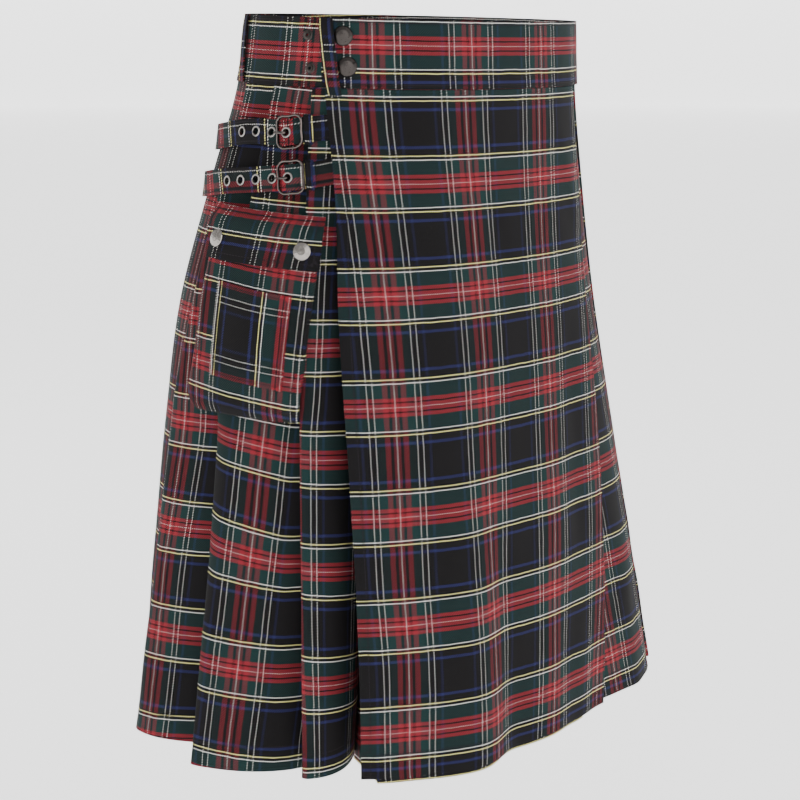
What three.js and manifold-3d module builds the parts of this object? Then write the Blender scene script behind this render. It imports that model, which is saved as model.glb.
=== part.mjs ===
// Utility kilt in its worn form: a hollow wrap skirt of tartan cloth with a plain front apron,
// knife pleats from the right hip round the back to the left hip, a snapped waistband, two
// buckled hip straps and a cargo pocket.
//
// Frame: millimetres, +Z up, the front faces -Y and the wearer's left is +X. The origin is the
// centre of the waist opening at the band's top edge.
//
// Every cloth piece is laid out in three skirt coordinates:
//   drop   how far below the waist's top edge
//   along  distance round the skirt from the front centre, positive to the wearer's left
//   out    distance outwards from the skirt's outer skin
import * as THREE from 'three';
import Module from 'manifold-3d';
import { mergeVertices } from 'three/addons/utils/BufferGeometryUtils.js';

const wasm = await Module();
wasm.setup();

// ---- driving sizes ----------------------------------------------------------------------
const HEM = 607;              // waist edge to hem
const BAND_HEIGHT = 55;
const CLOTH = 1.6;            // wall of one skirt panel
const GAP = 0.45;             // between two layers that touch
const LAYER = CLOTH + GAP;    // from the middle of one layer to the middle of the next
const SKIRT_TOP = BAND_HEIGHT + 0.4;
const WAIST_DIP = 0.034;      // slope of the waist's plane, lower in front
const BAND_THICK = 2.4;
const BAND_OUT = 0.6;         // the band's outer face stands this far off the skin
const TUCK_TOP = 12;          // how far a panel runs on under the next fold, at the waist
const TUCK_HEM = 6;           // the same at the hem
const PLEAT_COUNT = 13;
const UNDER_APRON_EXTRA = 6;  // the under apron hangs this much lower
const STRAP_WIDTH = 20;
const STRAP_THICK = 1.3;
const TAB_THICK = 1;
const KEEPER_THICK = 0.9;
const EYELET_SPACING = 16.8;
const EYELET_HOLE = 3.1;      // radius of the clear hole
const BUCKLE_HALF = 10.5;     // from the buckle's centre bar to its end bars
const FRAME_OUT = 5.65;        // middle of the buckle frame's wire, off the skin
const WIRE = 1.15;            // radius of the buckle frame's wire
const BAR_OUT = 4.3;           // middle of the centre bar, off the skin
const BAR = 0.8;              // radius of the centre bar
const LOOP_WIDTH = 11;
const LOOP_THICK = 1.3;

// The skirt's outer skin at rising drops: half sizes of its plan, where its middle lies, and
// how square the plan is (2 is an ellipse).
const SECTIONS = [
  { drop: 0, halfWidth: 167, halfDepth: 117, middleX: 0, middleY: 0, square: 2.15 },
  { drop: 60, halfWidth: 173, halfDepth: 120, middleX: 0, middleY: 4, square: 2.2 },
  { drop: 140, halfWidth: 187, halfDepth: 131, middleX: -4, middleY: 11, square: 2.35 },
  { drop: 240, halfWidth: 206, halfDepth: 146, middleX: -10, middleY: 16, square: 2.45 },
  { drop: 350, halfWidth: 221, halfDepth: 159, middleX: -11, middleY: 14.5, square: 2.6 },
  { drop: 480, halfWidth: 240, halfDepth: 169, middleX: -9, middleY: 11, square: 2.8 },
  { drop: 620, halfWidth: 264, halfDepth: 176, middleX: -7, middleY: 7, square: 3.0 },
];

// Where the front apron's free edge and its fold stand round the skirt.
const APRON = [
  { drop: 55, free: -189, fold: 104 },
  { drop: 140, free: -185, fold: 108 },
  { drop: 240, free: -190, fold: 112 },
  { drop: 350, free: -197, fold: 109 },
  { drop: 480, free: -206, fold: 98 },
  { drop: 620, free: -216, fold: 84 },
];

// How the front cloth stands off or falls back from the skin at the hem, by the share of the
// apron's width from its free edge.
const FRONT_WAVE = [
  { across: 0, out: -22 },
  { across: 0.13, out: -13 },
  { across: 0.34, out: 5 },
  { across: 0.5, out: -2 },
  { across: 0.72, out: -1 },
  { across: 0.9, out: -7 },
  { across: 1, out: -7 },
];
const WAVE_START = 120;       // drop where the front cloth leaves the skin

// The folds that differ from the even ones: where each stands at the waist, the hip, the thigh
// and the hem, how far it falls back at the hem, how deep its inner fold lies at the waist and at the
// hem, and where its hem ends.
const UNDER_FOLD = { back: 18, top: 6.4, deep: 60 };
const SHOWN_FOLDS = [
  { waist: -200, hip: -220, thigh: -235, hem: -276, fallBack: -21, top: 4.4, deep: 42, end: 606 },
  { waist: -238, hip: -292, thigh: -321, hem: -382, fallBack: 0, top: 4.4, deep: 46, end: 607 },
  { waist: -280, hip: -347, thigh: -388, hem: -482, fallBack: 0, top: 4.4, deep: 42, end: 602 },
];
const LAST_FOLD = { waist: 150, hip: 180, thigh: 193.5, hem: 235 };
const EVEN_FOLD = { top: 4.4, deep: 42 };
const HIP_DROP = 240;
const THIGH_DROP = 330;

const PANEL_DROPS = [SKIRT_TOP, 85, 120, 160, 205, 260, 320, 385, 455, 530, HEM];

const TARTAN = '#3a2326';
const TURNED_TARTAN = '#28283a';
const GUNMETAL = '#6b6662';
const STEEL = '#b9b6b1';

// ---- small mathematics --------------------------------------------------------------------
const lerp = THREE.MathUtils.lerp;

/** A value of a table at some place, with the table's corners rounded off. */
function smoothRead(table, key, column, at) {
  const last = table.length - 1;
  const clamped = THREE.MathUtils.clamp(at, table[0][key], table[last][key]);
  let i = 0;
  while (i < last - 1 && table[i + 1][key] < clamped) i++;
  const slope = (k) => {
    const before = table[Math.max(k - 1, 0)];
    const after = table[Math.min(k + 1, last)];
    return (after[column] - before[column]) / (after[key] - before[key]);
  };
  const width = table[i + 1][key] - table[i][key];
  const t = (clamped - table[i][key]) / width;
  const t2 = t * t;
  const t3 = t2 * t;
  return (2 * t3 - 3 * t2 + 1) * table[i][column] + (t3 - 2 * t2 + t) * width * slope(i)
    + (3 * t2 - 2 * t3) * table[i + 1][column] + (t3 - t2) * width * slope(i + 1);
}

/** How far down the skirt a drop is, 0 under the band and 1 at the hem. */
function hemShare(drop) {
  return THREE.MathUtils.clamp((drop - BAND_HEIGHT) / (HEM - BAND_HEIGHT), 0, 1.02);
}

// ---- the skirt's skin ---------------------------------------------------------------------
const RING_STEPS = 360;
const ringCache = new Map();

/** The plan of the skin at a drop: points in order round it and the distance to each. */
function ring(drop) {
  const key = drop.toFixed(3);
  if (ringCache.has(key)) return ringCache.get(key);
  const read = (column) => smoothRead(SECTIONS, 'drop', column, drop);
  const power = 2 / read('square');
  const points = [];
  for (let i = 0; i <= RING_STEPS; i++) {
    const turn = -Math.PI + (2 * Math.PI * i) / RING_STEPS;
    const side = Math.sin(turn);
    const front = Math.cos(turn);
    points.push(new THREE.Vector2(
      read('middleX') + read('halfWidth') * Math.sign(side) * Math.abs(side) ** power,
      read('middleY') - read('halfDepth') * Math.sign(front) * Math.abs(front) ** power,
    ));
  }
  const reach = [0];
  for (let i = 1; i <= RING_STEPS; i++) reach.push(reach[i - 1] + points[i].distanceTo(points[i - 1]));
  const girth = reach[RING_STEPS];
  const frontReach = reach[RING_STEPS / 2];
  const made = { points, reach: reach.map((r) => r - frontReach), girth };
  ringCache.set(key, made);
  return made;
}

/** A point of the skirt from its drop, its distance round the skirt and its stand-off. */
function place(drop, along, out) {
  const { points, reach, girth } = ring(drop);
  let s = along;
  while (s > reach[RING_STEPS]) s -= girth;
  while (s < reach[0]) s += girth;
  let low = 0;
  let high = RING_STEPS;
  while (high - low > 1) {
    const mid = (low + high) >> 1;
    if (reach[mid] <= s) low = mid;
    else high = mid;
  }
  const t = (s - reach[low]) / (reach[high] - reach[low]);
  const wrap = (k) => points[(k + RING_STEPS) % RING_STEPS];
  const tangentAt = (k) => wrap(k + 1).clone().sub(wrap(k - 1)).normalize();
  const tangent = tangentAt(low).lerp(tangentAt(high), t).normalize();
  const base = points[low].clone().lerp(points[high], t);
  const x = base.x + tangent.y * out;
  const y = base.y - tangent.x * out;
  const dip = WAIST_DIP * y * (1 - Math.min(drop / HEM, 1));
  return new THREE.Vector3(x, y, dip - drop);
}

// ---- building closed walls ------------------------------------------------------------------
/** The signed volume of a triangle list, positive when its faces point out. */
function signedVolume(corners, faces) {
  const cross = new THREE.Vector3();
  let sum = 0;
  for (const [a, b, c] of faces) {
    cross.crossVectors(corners[b], corners[c]);
    sum += corners[a].dot(cross);
  }
  return sum / 6;
}

function geometryOf(corners, faces) {
  const turned = signedVolume(corners, faces) < 0 ? faces.map(([a, b, c]) => [a, c, b]) : faces;
  const geometry = new THREE.BufferGeometry();
  geometry.setAttribute('position', new THREE.Float32BufferAttribute(corners.flatMap((p) => p.toArray()), 3));
  geometry.setIndex(turned.flat());
  geometry.computeVertexNormals();
  return geometry;
}

/** A closed wall through sections, each a pair of equally long chains: its two faces. */
function wall(sections) {
  const count = sections[0][0].length;
  const corners = sections.flatMap(([face, back]) => [...face, ...back]);
  const at = (level, side, i) => level * 2 * count + side * count + i;
  const faces = [];
  const quad = (a, b, c, d) => faces.push([a, b, c], [a, c, d]);
  const last = sections.length - 1;
  for (let level = 0; level < last; level++) {
    for (let i = 0; i < count - 1; i++) {
      quad(at(level, 0, i), at(level, 0, i + 1), at(level + 1, 0, i + 1), at(level + 1, 0, i));
      quad(at(level, 1, i + 1), at(level, 1, i), at(level + 1, 1, i), at(level + 1, 1, i + 1));
    }
    quad(at(level, 1, 0), at(level, 0, 0), at(level + 1, 0, 0), at(level + 1, 1, 0));
    quad(at(level, 0, count - 1), at(level, 1, count - 1), at(level + 1, 1, count - 1), at(level + 1, 0, count - 1));
  }
  for (let i = 0; i < count - 1; i++) {
    quad(at(0, 0, i + 1), at(0, 0, i), at(0, 1, i), at(0, 1, i + 1));
    quad(at(last, 0, i), at(last, 0, i + 1), at(last, 1, i + 1), at(last, 1, i));
  }
  return geometryOf(corners, faces);
}

/** Both faces of a flat chain of [u, v] points, half a thickness to each side of it. */
function thicken(chain, half) {
  const normals = chain.slice(1).map((p, i) => {
    const du = p[0] - chain[i][0];
    const dv = p[1] - chain[i][1];
    const size = Math.hypot(du, dv);
    return [-dv / size, du / size];
  });
  const shift = chain.map((p, i) => {
    const before = normals[Math.max(i - 1, 0)];
    const after = normals[Math.min(i, normals.length - 1)];
    const sum = [before[0] + after[0], before[1] + after[1]];
    const scale = 2 / Math.max(sum[0] ** 2 + sum[1] ** 2, 1);
    return [sum[0] * scale * half, sum[1] * scale * half];
  });
  return [1, -1].map((side) => chain.map((p, i) => [p[0] + side * shift[i][0], p[1] + side * shift[i][1]]));
}

/** A wall of the skirt: at each drop a chain of [along, out] points in its middle. */
function panel(drops, chainAt, thickness = CLOTH) {
  return wall(drops.map((drop) => (
    thicken(chainAt(drop), thickness / 2).map((face) => face.map(([along, out]) => place(drop, along, out)))
  )));
}

// ---- solids joined and cut --------------------------------------------------------------------
function solidOf(geometry) {
  const bare = geometry.clone();
  bare.deleteAttribute('normal');
  if (bare.getAttribute('uv')) bare.deleteAttribute('uv');
  const merged = mergeVertices(bare, 1e-4);
  return new wasm.Manifold(new wasm.Mesh({
    numProp: 3,
    vertProperties: new Float32Array(merged.getAttribute('position').array),
    triVerts: new Uint32Array(merged.getIndex().array),
  }));
}

function geometryFrom(solid) {
  const mesh = solid.getMesh();
  const geometry = new THREE.BufferGeometry();
  geometry.setAttribute('position', new THREE.BufferAttribute(new Float32Array(mesh.vertProperties), 3));
  geometry.setIndex(new THREE.BufferAttribute(new Uint32Array(mesh.triVerts), 1));
  geometry.computeVertexNormals();
  return geometry;
}

// ---- the object -------------------------------------------------------------------------------
const kilt = new THREE.Group();

function add(name, geometry, color, roughness = 0.9, metalness = 0) {
  const mesh = new THREE.Mesh(geometry, new THREE.MeshStandardMaterial({ color, roughness, metalness }));
  mesh.name = name;
  kilt.add(mesh);
  return mesh;
}

// ---- front cloth ----
function apronEdge(column, drop) {
  return smoothRead(APRON, 'drop', column, drop);
}

/** How far the front cloth stands off the skin. */
function frontWave(drop, along) {
  const free = apronEdge('free', drop);
  const across = (along - free) / (apronEdge('fold', drop) - free);
  const share = Math.max((drop - WAVE_START) / (HEM - WAVE_START), 0);
  return smoothRead(FRONT_WAVE, 'across', 'out', across) * share ** 2;
}

function evenly(from, to, steps) {
  return Array.from({ length: steps + 1 }, (unused, i) => lerp(from, to, i / steps));
}

const APRON_STEPS = 20;
const APRON_TURN_UNDER = 14;  // the cloth turned under behind the apron's fold

function apronChain(drop) {
  const free = apronEdge('free', drop);
  const fold = apronEdge('fold', drop) - CLOTH / 2;
  const face = evenly(free, fold, APRON_STEPS).map((along) => [along, frontWave(drop, along) - CLOTH / 2]);
  const foldOut = frontWave(drop, fold) - CLOTH / 2 - LAYER;
  const sink = 10 * hemShare(drop) ** 2;
  return [...face, [fold, foldOut], [fold - APRON_TURN_UNDER, foldOut - sink]];
}
add('front_apron', panel(PANEL_DROPS, apronChain), TARTAN);

// ---- folds ----
/** Where a pleat's fold stands round the skirt. */
function foldAlong(fold, drop) {
  const rows = [
    { drop: BAND_HEIGHT, along: fold.waist },
    { drop: HIP_DROP, along: fold.hip },
    { drop: THIGH_DROP, along: fold.thigh },
    { drop: HEM, along: fold.hem },
  ];
  return smoothRead(rows, 'drop', 'along', drop);
}

/** How deep an inner fold lies under the skin. */
function innerDepth(fold, drop) {
  return lerp(fold.top, fold.deep, hemShare(drop) ** 0.9);
}

function tuckAt(drop) {
  return lerp(TUCK_TOP, TUCK_HEM, hemShare(drop));
}

/** The fold, the turn under it and the inner end of the return behind it, as [along, out]. */
function foldPoints(fold, drop) {
  const along = fold.at(drop);
  const out = fold.outAt(drop) - CLOTH / 2;
  return {
    tip: [along, out],
    turn: [along, out - LAYER],
    inner: [along + tuckAt(drop), out - innerDepth(fold, drop)],
  };
}

/** Where the panel behind a fold ends: beside the inner end of that fold's return. */
function panelEnd(fold, drop) {
  const { turn, inner } = foldPoints(fold, drop);
  const du = inner[0] - turn[0];
  const dv = inner[1] - turn[1];
  const size = Math.hypot(du, dv);
  return [inner[0] + (dv / size) * LAYER, inner[1] - (du / size) * LAYER];
}

const underFold = {
  ...UNDER_FOLD,
  at: (drop) => apronEdge('free', drop) + UNDER_FOLD.back,
  outAt: (drop) => frontWave(drop, apronEdge('free', drop) + UNDER_FOLD.back) - underDepth(drop),
};

const shownFolds = SHOWN_FOLDS.map((fold) => ({
  ...fold,
  at: (drop) => foldAlong(fold, drop),
  outAt: (drop) => fold.fallBack * Math.max((drop - WAVE_START) / (HEM - WAVE_START), 0) ** 2,
}));

const evenCount = PLEAT_COUNT - SHOWN_FOLDS.length;
const evenFolds = Array.from({ length: evenCount }, (unused, i) => ({
  ...EVEN_FOLD,
  end: HEM,
  at: (drop) => {
    const first = foldAlong(SHOWN_FOLDS[SHOWN_FOLDS.length - 1], drop);
    const last = foldAlong(LAST_FOLD, drop) - ring(drop).girth;
    return lerp(first, last, (i + 1) / evenCount);
  },
  outAt: () => 0,
}));

const folds = [...shownFolds, ...evenFolds];

// ---- under apron ----
const UNDER_APRON_SHORT = 2;  // its free end stops this many of the apron's steps before the fold

/** How much deeper than the front apron's lining side the under apron hangs. */
function underDepth(drop) {
  return LAYER + 4 * hemShare(drop) ** 2;
}

function underApronChain(drop) {
  const { tip, turn, inner } = foldPoints(underFold, drop);
  const free = apronEdge('free', drop);
  const fold = apronEdge('fold', drop) - CLOTH / 2;
  const steps = evenly(free, fold, APRON_STEPS).slice(2, APRON_STEPS + 1 - UNDER_APRON_SHORT);
  return [inner, turn, tip, ...steps.map((along) => [along, frontWave(drop, along) - underDepth(drop) - CLOTH / 2])];
}
const underDrops = [...PANEL_DROPS, HEM + UNDER_APRON_EXTRA];
add('under_apron', panel(underDrops, underApronChain), TARTAN);

// ---- knife pleats ----
const SHOWN_STEPS = 5;        // facets across a shown pleat, and across an even one
const EVEN_STEPS = 3;
const PLEAT_SWELL = 0.6;      // how much rounder than a flat slope a pleat's face is at the hem

folds.forEach((fold, i) => {
  const inFront = i === 0 ? underFold : folds[i - 1];
  const facets = i < SHOWN_FOLDS.length ? SHOWN_STEPS : EVEN_STEPS;
  const chainAt = (drop) => {
    const { tip, turn, inner } = foldPoints(fold, drop);
    const end = panelEnd(inFront, drop);
    const dive = 1 + PLEAT_SWELL * hemShare(drop);
    const face = evenly(0, 1, facets).map((t) => [
      lerp(tip[0], end[0], t),
      lerp(tip[1], end[1], t ** dive),
    ]);
    return [inner, turn, ...face];
  };
  const drops = [...PANEL_DROPS.slice(0, -1), fold.end];
  add(`pleat_${String(i + 1).padStart(2, '0')}`, panel(drops, chainAt), TARTAN);
});

// ---- left side panel ----
const SIDE_STEPS = 6;

function sidePanelChain(drop) {
  const { girth } = ring(drop);
  const share = hemShare(drop);
  const [foldTurn, turnedEnd] = apronChain(drop).slice(-2);
  const start = [turnedEnd[0], turnedEnd[1] - LAYER];
  const dip = [foldTurn[0], foldTurn[1] - LAYER - 4 * share];
  const lastFold = folds[folds.length - 1];
  const tipAlong = lastFold.at(drop) + girth;
  const crest = [tipAlong - lerp(14, 30, share), lerp(-2 * LAYER, -3, share) - CLOTH / 2];
  const under = [tipAlong - lerp(1, 7, share), lerp(-2 * LAYER - 1, -14, share) - CLOTH / 2];
  const end = panelEnd(lastFold, drop);
  const rise = evenly(0, 1, SIDE_STEPS).slice(1).map((t) => [
    lerp(dip[0], crest[0], t),
    lerp(dip[1], crest[1], Math.sin((t * Math.PI) / 2)),
  ]);
  return [start, dip, ...rise, under, [end[0] + girth, end[1]]];
}
add('left_side_panel', panel(PANEL_DROPS, sidePanelChain), TARTAN);

// ---- waistband ----
const BAND_END = -191;        // the outer end, at the wearer's right front
const BAND_INNER_END = 82;    // the inner end, behind the apron's fold
const BAND_STEPS = 60;
const BAND_LAPS = BAND_THICK + GAP;
const BAND_DIVE = { from: -330, to: -215 };

/** The band runs from its outer end across the front, round the back and under itself. */
function bandChain(drop) {
  const { girth } = ring(drop);
  return evenly(BAND_END, girth + BAND_INNER_END, BAND_STEPS).map((along) => {
    const lap = THREE.MathUtils.smoothstep(along - girth, BAND_DIVE.from, BAND_DIVE.to);
    return [along, BAND_OUT - BAND_THICK / 2 - lap * BAND_LAPS];
  });
}
add('waistband', panel([0, BAND_HEIGHT / 2, BAND_HEIGHT], bandChain, BAND_THICK), TARTAN);


// ---- strips and metal laid on the skirt ---------------------------------------------------------
/**
 * A strip that runs round the skirt: points {along, out, drop} of its middle line. A lean holds
 * its upper edge that much further out than its middle, and its lower edge as much nearer.
 */
function ribbon(line, width, thickness) {
  const faces = thicken(line.map((p) => [p.along, p.out]), thickness / 2);
  return wall(line.map((p, i) => faces.map((face) => (
    [-1, 1].map((side) => place(p.drop + side * width / 2, face[i][0], face[i][1] - side * (p.lean ?? 0)))
  ))));
}

/** A strip that runs down the skirt: points [drop, out], and where it lies round the skirt. */
function downStrip(chain, alongAt, width, thickness) {
  const faces = thicken(chain, thickness / 2);
  return wall([-width / 2, width / 2].map((side) => (
    faces.map((face) => face.map(([drop, out]) => place(drop, alongAt(drop) + side, out)))
  )));
}

/** A sheet over a grid: at(u, v) gives {drop, along, out} of its middle. */
function sheet(columns, rows, at, thickness) {
  return wall(rows.map((v) => [0.5, -0.5].map((side) => columns.map((u) => {
    const p = at(u, v);
    return place(p.drop, p.along, p.out + side * thickness);
  }))));
}

/** Axes at a point of the skirt: x round it, y up, z outwards, turned by a slope and a lean. */
function seat(drop, along, out, slope = 0, lean = 0) {
  const origin = place(drop, along, out);
  const x = place(drop, along + 0.5, out + slope * 0.5).sub(place(drop, along - 0.5, out - slope * 0.5)).normalize();
  const down = place(drop + 0.5, along, out - lean * 0.5).sub(place(drop - 0.5, along, out + lean * 0.5));
  const z = new THREE.Vector3().crossVectors(down, x).normalize();
  const y = new THREE.Vector3().crossVectors(z, x);
  return new THREE.Matrix4().makeBasis(x, y, z).setPosition(origin);
}

/** A turned piece standing on the skirt: profile points [radius, height]. */
function turned(profile, segments, matrix) {
  const points = profile.map(([radius, height]) => new THREE.Vector2(radius, height));
  const geometry = new THREE.LatheGeometry(points, segments);
  geometry.rotateX(Math.PI / 2);
  geometry.applyMatrix4(matrix);
  return geometry;
}

/** A round wire through points, closed on itself or capped at its ends. */
function wire(points, radius, sides, steps, closed) {
  const curve = new THREE.CatmullRomCurve3(points, closed, 'centripetal');
  const frames = curve.computeFrenetFrames(steps, closed);
  const rings = closed ? steps : steps + 1;
  const corners = [];
  for (let i = 0; i < rings; i++) {
    const centre = curve.getPointAt(i / steps);
    for (let k = 0; k < sides; k++) {
      const turn = (2 * Math.PI * k) / sides;
      corners.push(centre.clone()
        .addScaledVector(frames.normals[i], Math.cos(turn) * radius)
        .addScaledVector(frames.binormals[i], Math.sin(turn) * radius));
    }
  }
  const faces = [];
  const at = (i, k) => (i % rings) * sides + (k % sides);
  const spans = closed ? rings : rings - 1;
  for (let i = 0; i < spans; i++) {
    for (let k = 0; k < sides; k++) {
      faces.push([at(i, k), at(i, k + 1), at(i + 1, k + 1)], [at(i, k), at(i + 1, k + 1), at(i + 1, k)]);
    }
  }
  if (!closed) {
    for (let k = 1; k < sides - 1; k++) {
      faces.push([at(0, 0), at(0, k + 1), at(0, k)]);
      faces.push([at(rings - 1, 0), at(rings - 1, k), at(rings - 1, k + 1)]);
    }
  }
  return geometryOf(corners, faces);
}

// ---- cargo pocket ----
const POCKET = [
  { drop: 169, back: -303, front: -201, out: 5 },
  { drop: 200, back: -308, front: -204, out: 6.4 },
  { drop: 226, back: -316, front: -210, out: 7 },
  { drop: 255, back: -323, front: -217, out: 7.2 },
  { drop: 280, back: -332, front: -223, out: 7 },
  { drop: 300, back: -340, front: -229, out: 6.2 },
  { drop: 311, back: -341, front: -231, out: 4.6 },
  { drop: 317, back: -334, front: -233, out: 1.2 },
];
const POCKET_CLOTH = 1.4;
const POCKET_SEAT = 1.2;      // middle of the pocket's sewn edge, off the skin

function pocketRead(column, drop) {
  return smoothRead(POCKET, 'drop', column, drop);
}

function pocketChain(drop) {
  const back = pocketRead('back', drop);
  const front = pocketRead('front', drop);
  const out = pocketRead('out', drop);
  const side = lerp(POCKET_SEAT, out, 0.75);
  const face = evenly(back + 3, front - 3, 6).map((along) => [along, out]);
  return [[back, POCKET_SEAT], [back + 0.5, side + 0.01], ...face, [front - 0.5, side + 0.01], [front, POCKET_SEAT]];
}
add('pocket_body', panel(POCKET.map((row) => row.drop), pocketChain, POCKET_CLOTH), TARTAN);

// A point between four corners, u from back to front and v from top to bottom.
function between(corners, u, v) {
  const { topBack, topFront, lowBack, lowFront } = corners;
  const mix = (key) => lerp(lerp(topBack[key], topFront[key], u), lerp(lowBack[key], lowFront[key], u), v);
  return { drop: mix('drop'), along: mix('along') };
}

const PATCH_CORNERS = {
  topBack: { drop: 211, along: -291 },
  topFront: { drop: 218, along: -223 },
  lowBack: { drop: 286, along: -307 },
  lowFront: { drop: 292, along: -240 },
};

function patchAt(u, v) {
  const { drop, along } = between(PATCH_CORNERS, u, v);
  return { drop, along, out: pocketRead('out', drop) + POCKET_CLOTH / 2 + 0.9 };
}
add('pocket_patch', sheet(evenly(0, 1, 5), evenly(0, 1, 5), patchAt, 1), TURNED_TARTAN);

const FLAP_CORNERS = {
  topBack: { drop: 152, along: -304 },
  topFront: { drop: 156, along: -193 },
  lowBack: { drop: 194, along: -307 },
  lowFront: { drop: 197.5, along: -200 },
};
const FLAP_PROFILE = [
  { down: 0, out: 1.4 },
  { down: 0.1, out: 3.4 },
  { down: 0.24, out: 7.6 },
  { down: 0.5, out: 8.5 },
  { down: 1, out: 8.9 },
];

function flapAt(u, v) {
  return { ...between(FLAP_CORNERS, u, v), out: smoothRead(FLAP_PROFILE, 'down', 'out', v) };
}
add('pocket_flap', sheet(evenly(0, 1, 8), [0, 0.08, 0.16, 0.26, 0.45, 0.7, 1], flapAt, POCKET_CLOTH), TARTAN);

// ---- snaps ----
const CAP_PROFILE = [[0, 0], [7.5, 0], [8, 0.6], [7.4, 1.5], [4.8, 2.6], [2.2, 3], [0, 3.1]];
const FLAP_CAP_PROFILE = [[0, 0], [7, 0], [7.5, 0.5], [6.9, 1.2], [3.4, 1.9], [0, 2.1]];
const STUD_PROFILE = [
  [1.3, 0], [4.2, 0], [4.2, 0.5], [3, 0.8], [2.7, 1.9], [1.9, 2], [1.3, 1.5], [1.3, 0],
];
const SNAPS = [
  { name: 'snap_cap_top', drop: 14, along: -172.9, on: BAND_OUT, profile: CAP_PROFILE, color: GUNMETAL },
  { name: 'snap_cap_low', drop: 38, along: -169.8, on: BAND_OUT, profile: CAP_PROFILE, color: GUNMETAL },
  { name: 'snap_stud_top', drop: 14, along: -203.7, on: BAND_OUT - BAND_LAPS, profile: STUD_PROFILE, color: STEEL },
  { name: 'snap_stud_low', drop: 40, along: -201.7, on: BAND_OUT - BAND_LAPS, profile: STUD_PROFILE, color: STEEL },
  { name: 'flap_cap_back', drop: 178, along: -292.3, on: 9.45, profile: FLAP_CAP_PROFILE, color: STEEL },
  { name: 'flap_cap_front', drop: 182, along: -211.7, on: 9.45, profile: FLAP_CAP_PROFILE, color: STEEL },
];
const SNAP_SEAT = 0.35;

SNAPS.forEach(({ name, drop, along, on, profile, color }) => {
  add(name, turned(profile, 16, seat(drop, along, on + SNAP_SEAT)), color, 0.4, 1);
});

// ---- belt loops ----
const LOOP_CHAIN = [
  [0.5, 1.4], [2, 2.3], [6, 3.9], [16, 4.4], [30, 4.5], [44, 4.4], [52, 3.9], [57.5, 2.6], [61, 1.1],
];
const FLAT_LOOP_CHAIN = [[0.5, 0.9], [3, 1.4], [12, 2], [27, 2.2], [42, 2], [50, 1.4], [54, 0.9]];
const LOOPS = [
  { name: 'belt_loop_front', chain: LOOP_CHAIN, top: -186.5, low: -180.5 },
  { name: 'belt_loop_right', chain: FLAT_LOOP_CHAIN, top: -284, low: -285.5 },
  { name: 'belt_loop_back', chain: LOOP_CHAIN, top: -455, low: -458 },
  { name: 'belt_loop_left', chain: LOOP_CHAIN, top: 292, low: 294 },
];

LOOPS.forEach(({ name, chain, top, low }) => {
  const alongAt = (drop) => lerp(top, low, drop / chain[chain.length - 1][0]);
  add(name, downStrip(chain, alongAt, LOOP_WIDTH, LOOP_THICK), TURNED_TARTAN);
});

// ---- hip straps and buckles ----
const STRAPS = [
  {
    name: 'upper', buckle: -218, eyelets: 4,
    line: [
      { along: -386, drop: 105 }, { along: -345, drop: 103 }, { along: -299, drop: 98 },
      { along: -262, drop: 92.5 }, { along: -221, drop: 91 }, { along: -205, drop: 88 },
      { along: -178, drop: 85 },
    ],
  },
  {
    name: 'lower', buckle: -218.5, eyelets: 5,
    line: [
      { along: -392, drop: 143 }, { along: -345, drop: 141 }, { along: -292, drop: 134 },
      { along: -256, drop: 130 }, { along: -221, drop: 126 }, { along: -207, drop: 124 },
      { along: -178, drop: 119 },
    ],
  },
];

// The strap's middle off the skin, by its distance from the centre bar of its buckle, and how
// far its upper edge stands out beyond that.
const STRAP_RISE = [
  { from: -167, out: 1.2, lean: 0 },
  { from: -152, out: 2, lean: 0.4 },
  { from: -132, out: 3.5, lean: 1.4 },
  { from: -112, out: 4.2, lean: 2 },
  { from: -82, out: 4.2, lean: 2 },
  { from: -54, out: 3.9, lean: 1.5 },
  { from: -36, out: 3.6, lean: 0.8 },
  { from: -19, out: 3.45, lean: 0 },
  { from: -9.1, out: 3.4, lean: 0 },
];
const STRAP_OVER_BAR = [
  [-11.4, 3.4], [-9.1, 3.4], [-7.6, 4.9], [-6.2, 7.3], [-5.5, 7.95], [3.5, 7.95], [4.4, 7.5],
  [6.5, 5.4], [8.7, 3.6], [10, 3.45], [15, 3.6], [20.5, 3.6],
];
// The tab's middle: in from under the apron, below the strap, round the bar and back on itself.
const TAB_RUN = [
  [38, -2.6], [32, -2.4], [27.5, -1.4], [23.5, 0.9], [20.5, 2.1], [17, 2.2], [8, 2.15], [2.2, 2.65],
];
const TAB_LOOP_RADIUS = BAR + 0.25 + TAB_THICK / 2;
const TAB_LOOP_TURNS = [-90, -126, -162, -198, -234, -270, -306, -335];
const TAB_BACK = [[3.4, 3.7], [6.2, 3.3]];
const TAB_SLOT = 3.2;         // opening in the tab's loop for the prong
const HUB_PROFILE = [[1.1, -1.1], [2.05, -1.1], [2.05, 1.1], [1.1, 1.1], [1.1, -1.1]];
const KEEPER = { middle: 15, width: 5.6 };

function strapDrop(strap, along) {
  return smoothRead(strap.line, 'along', 'drop', along);
}

function strapLine(strap, points) {
  return points.map(([from, out, lean]) => {
    const along = strap.buckle + from;
    return { along, out, lean, drop: strapDrop(strap, along) };
  });
}

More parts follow.
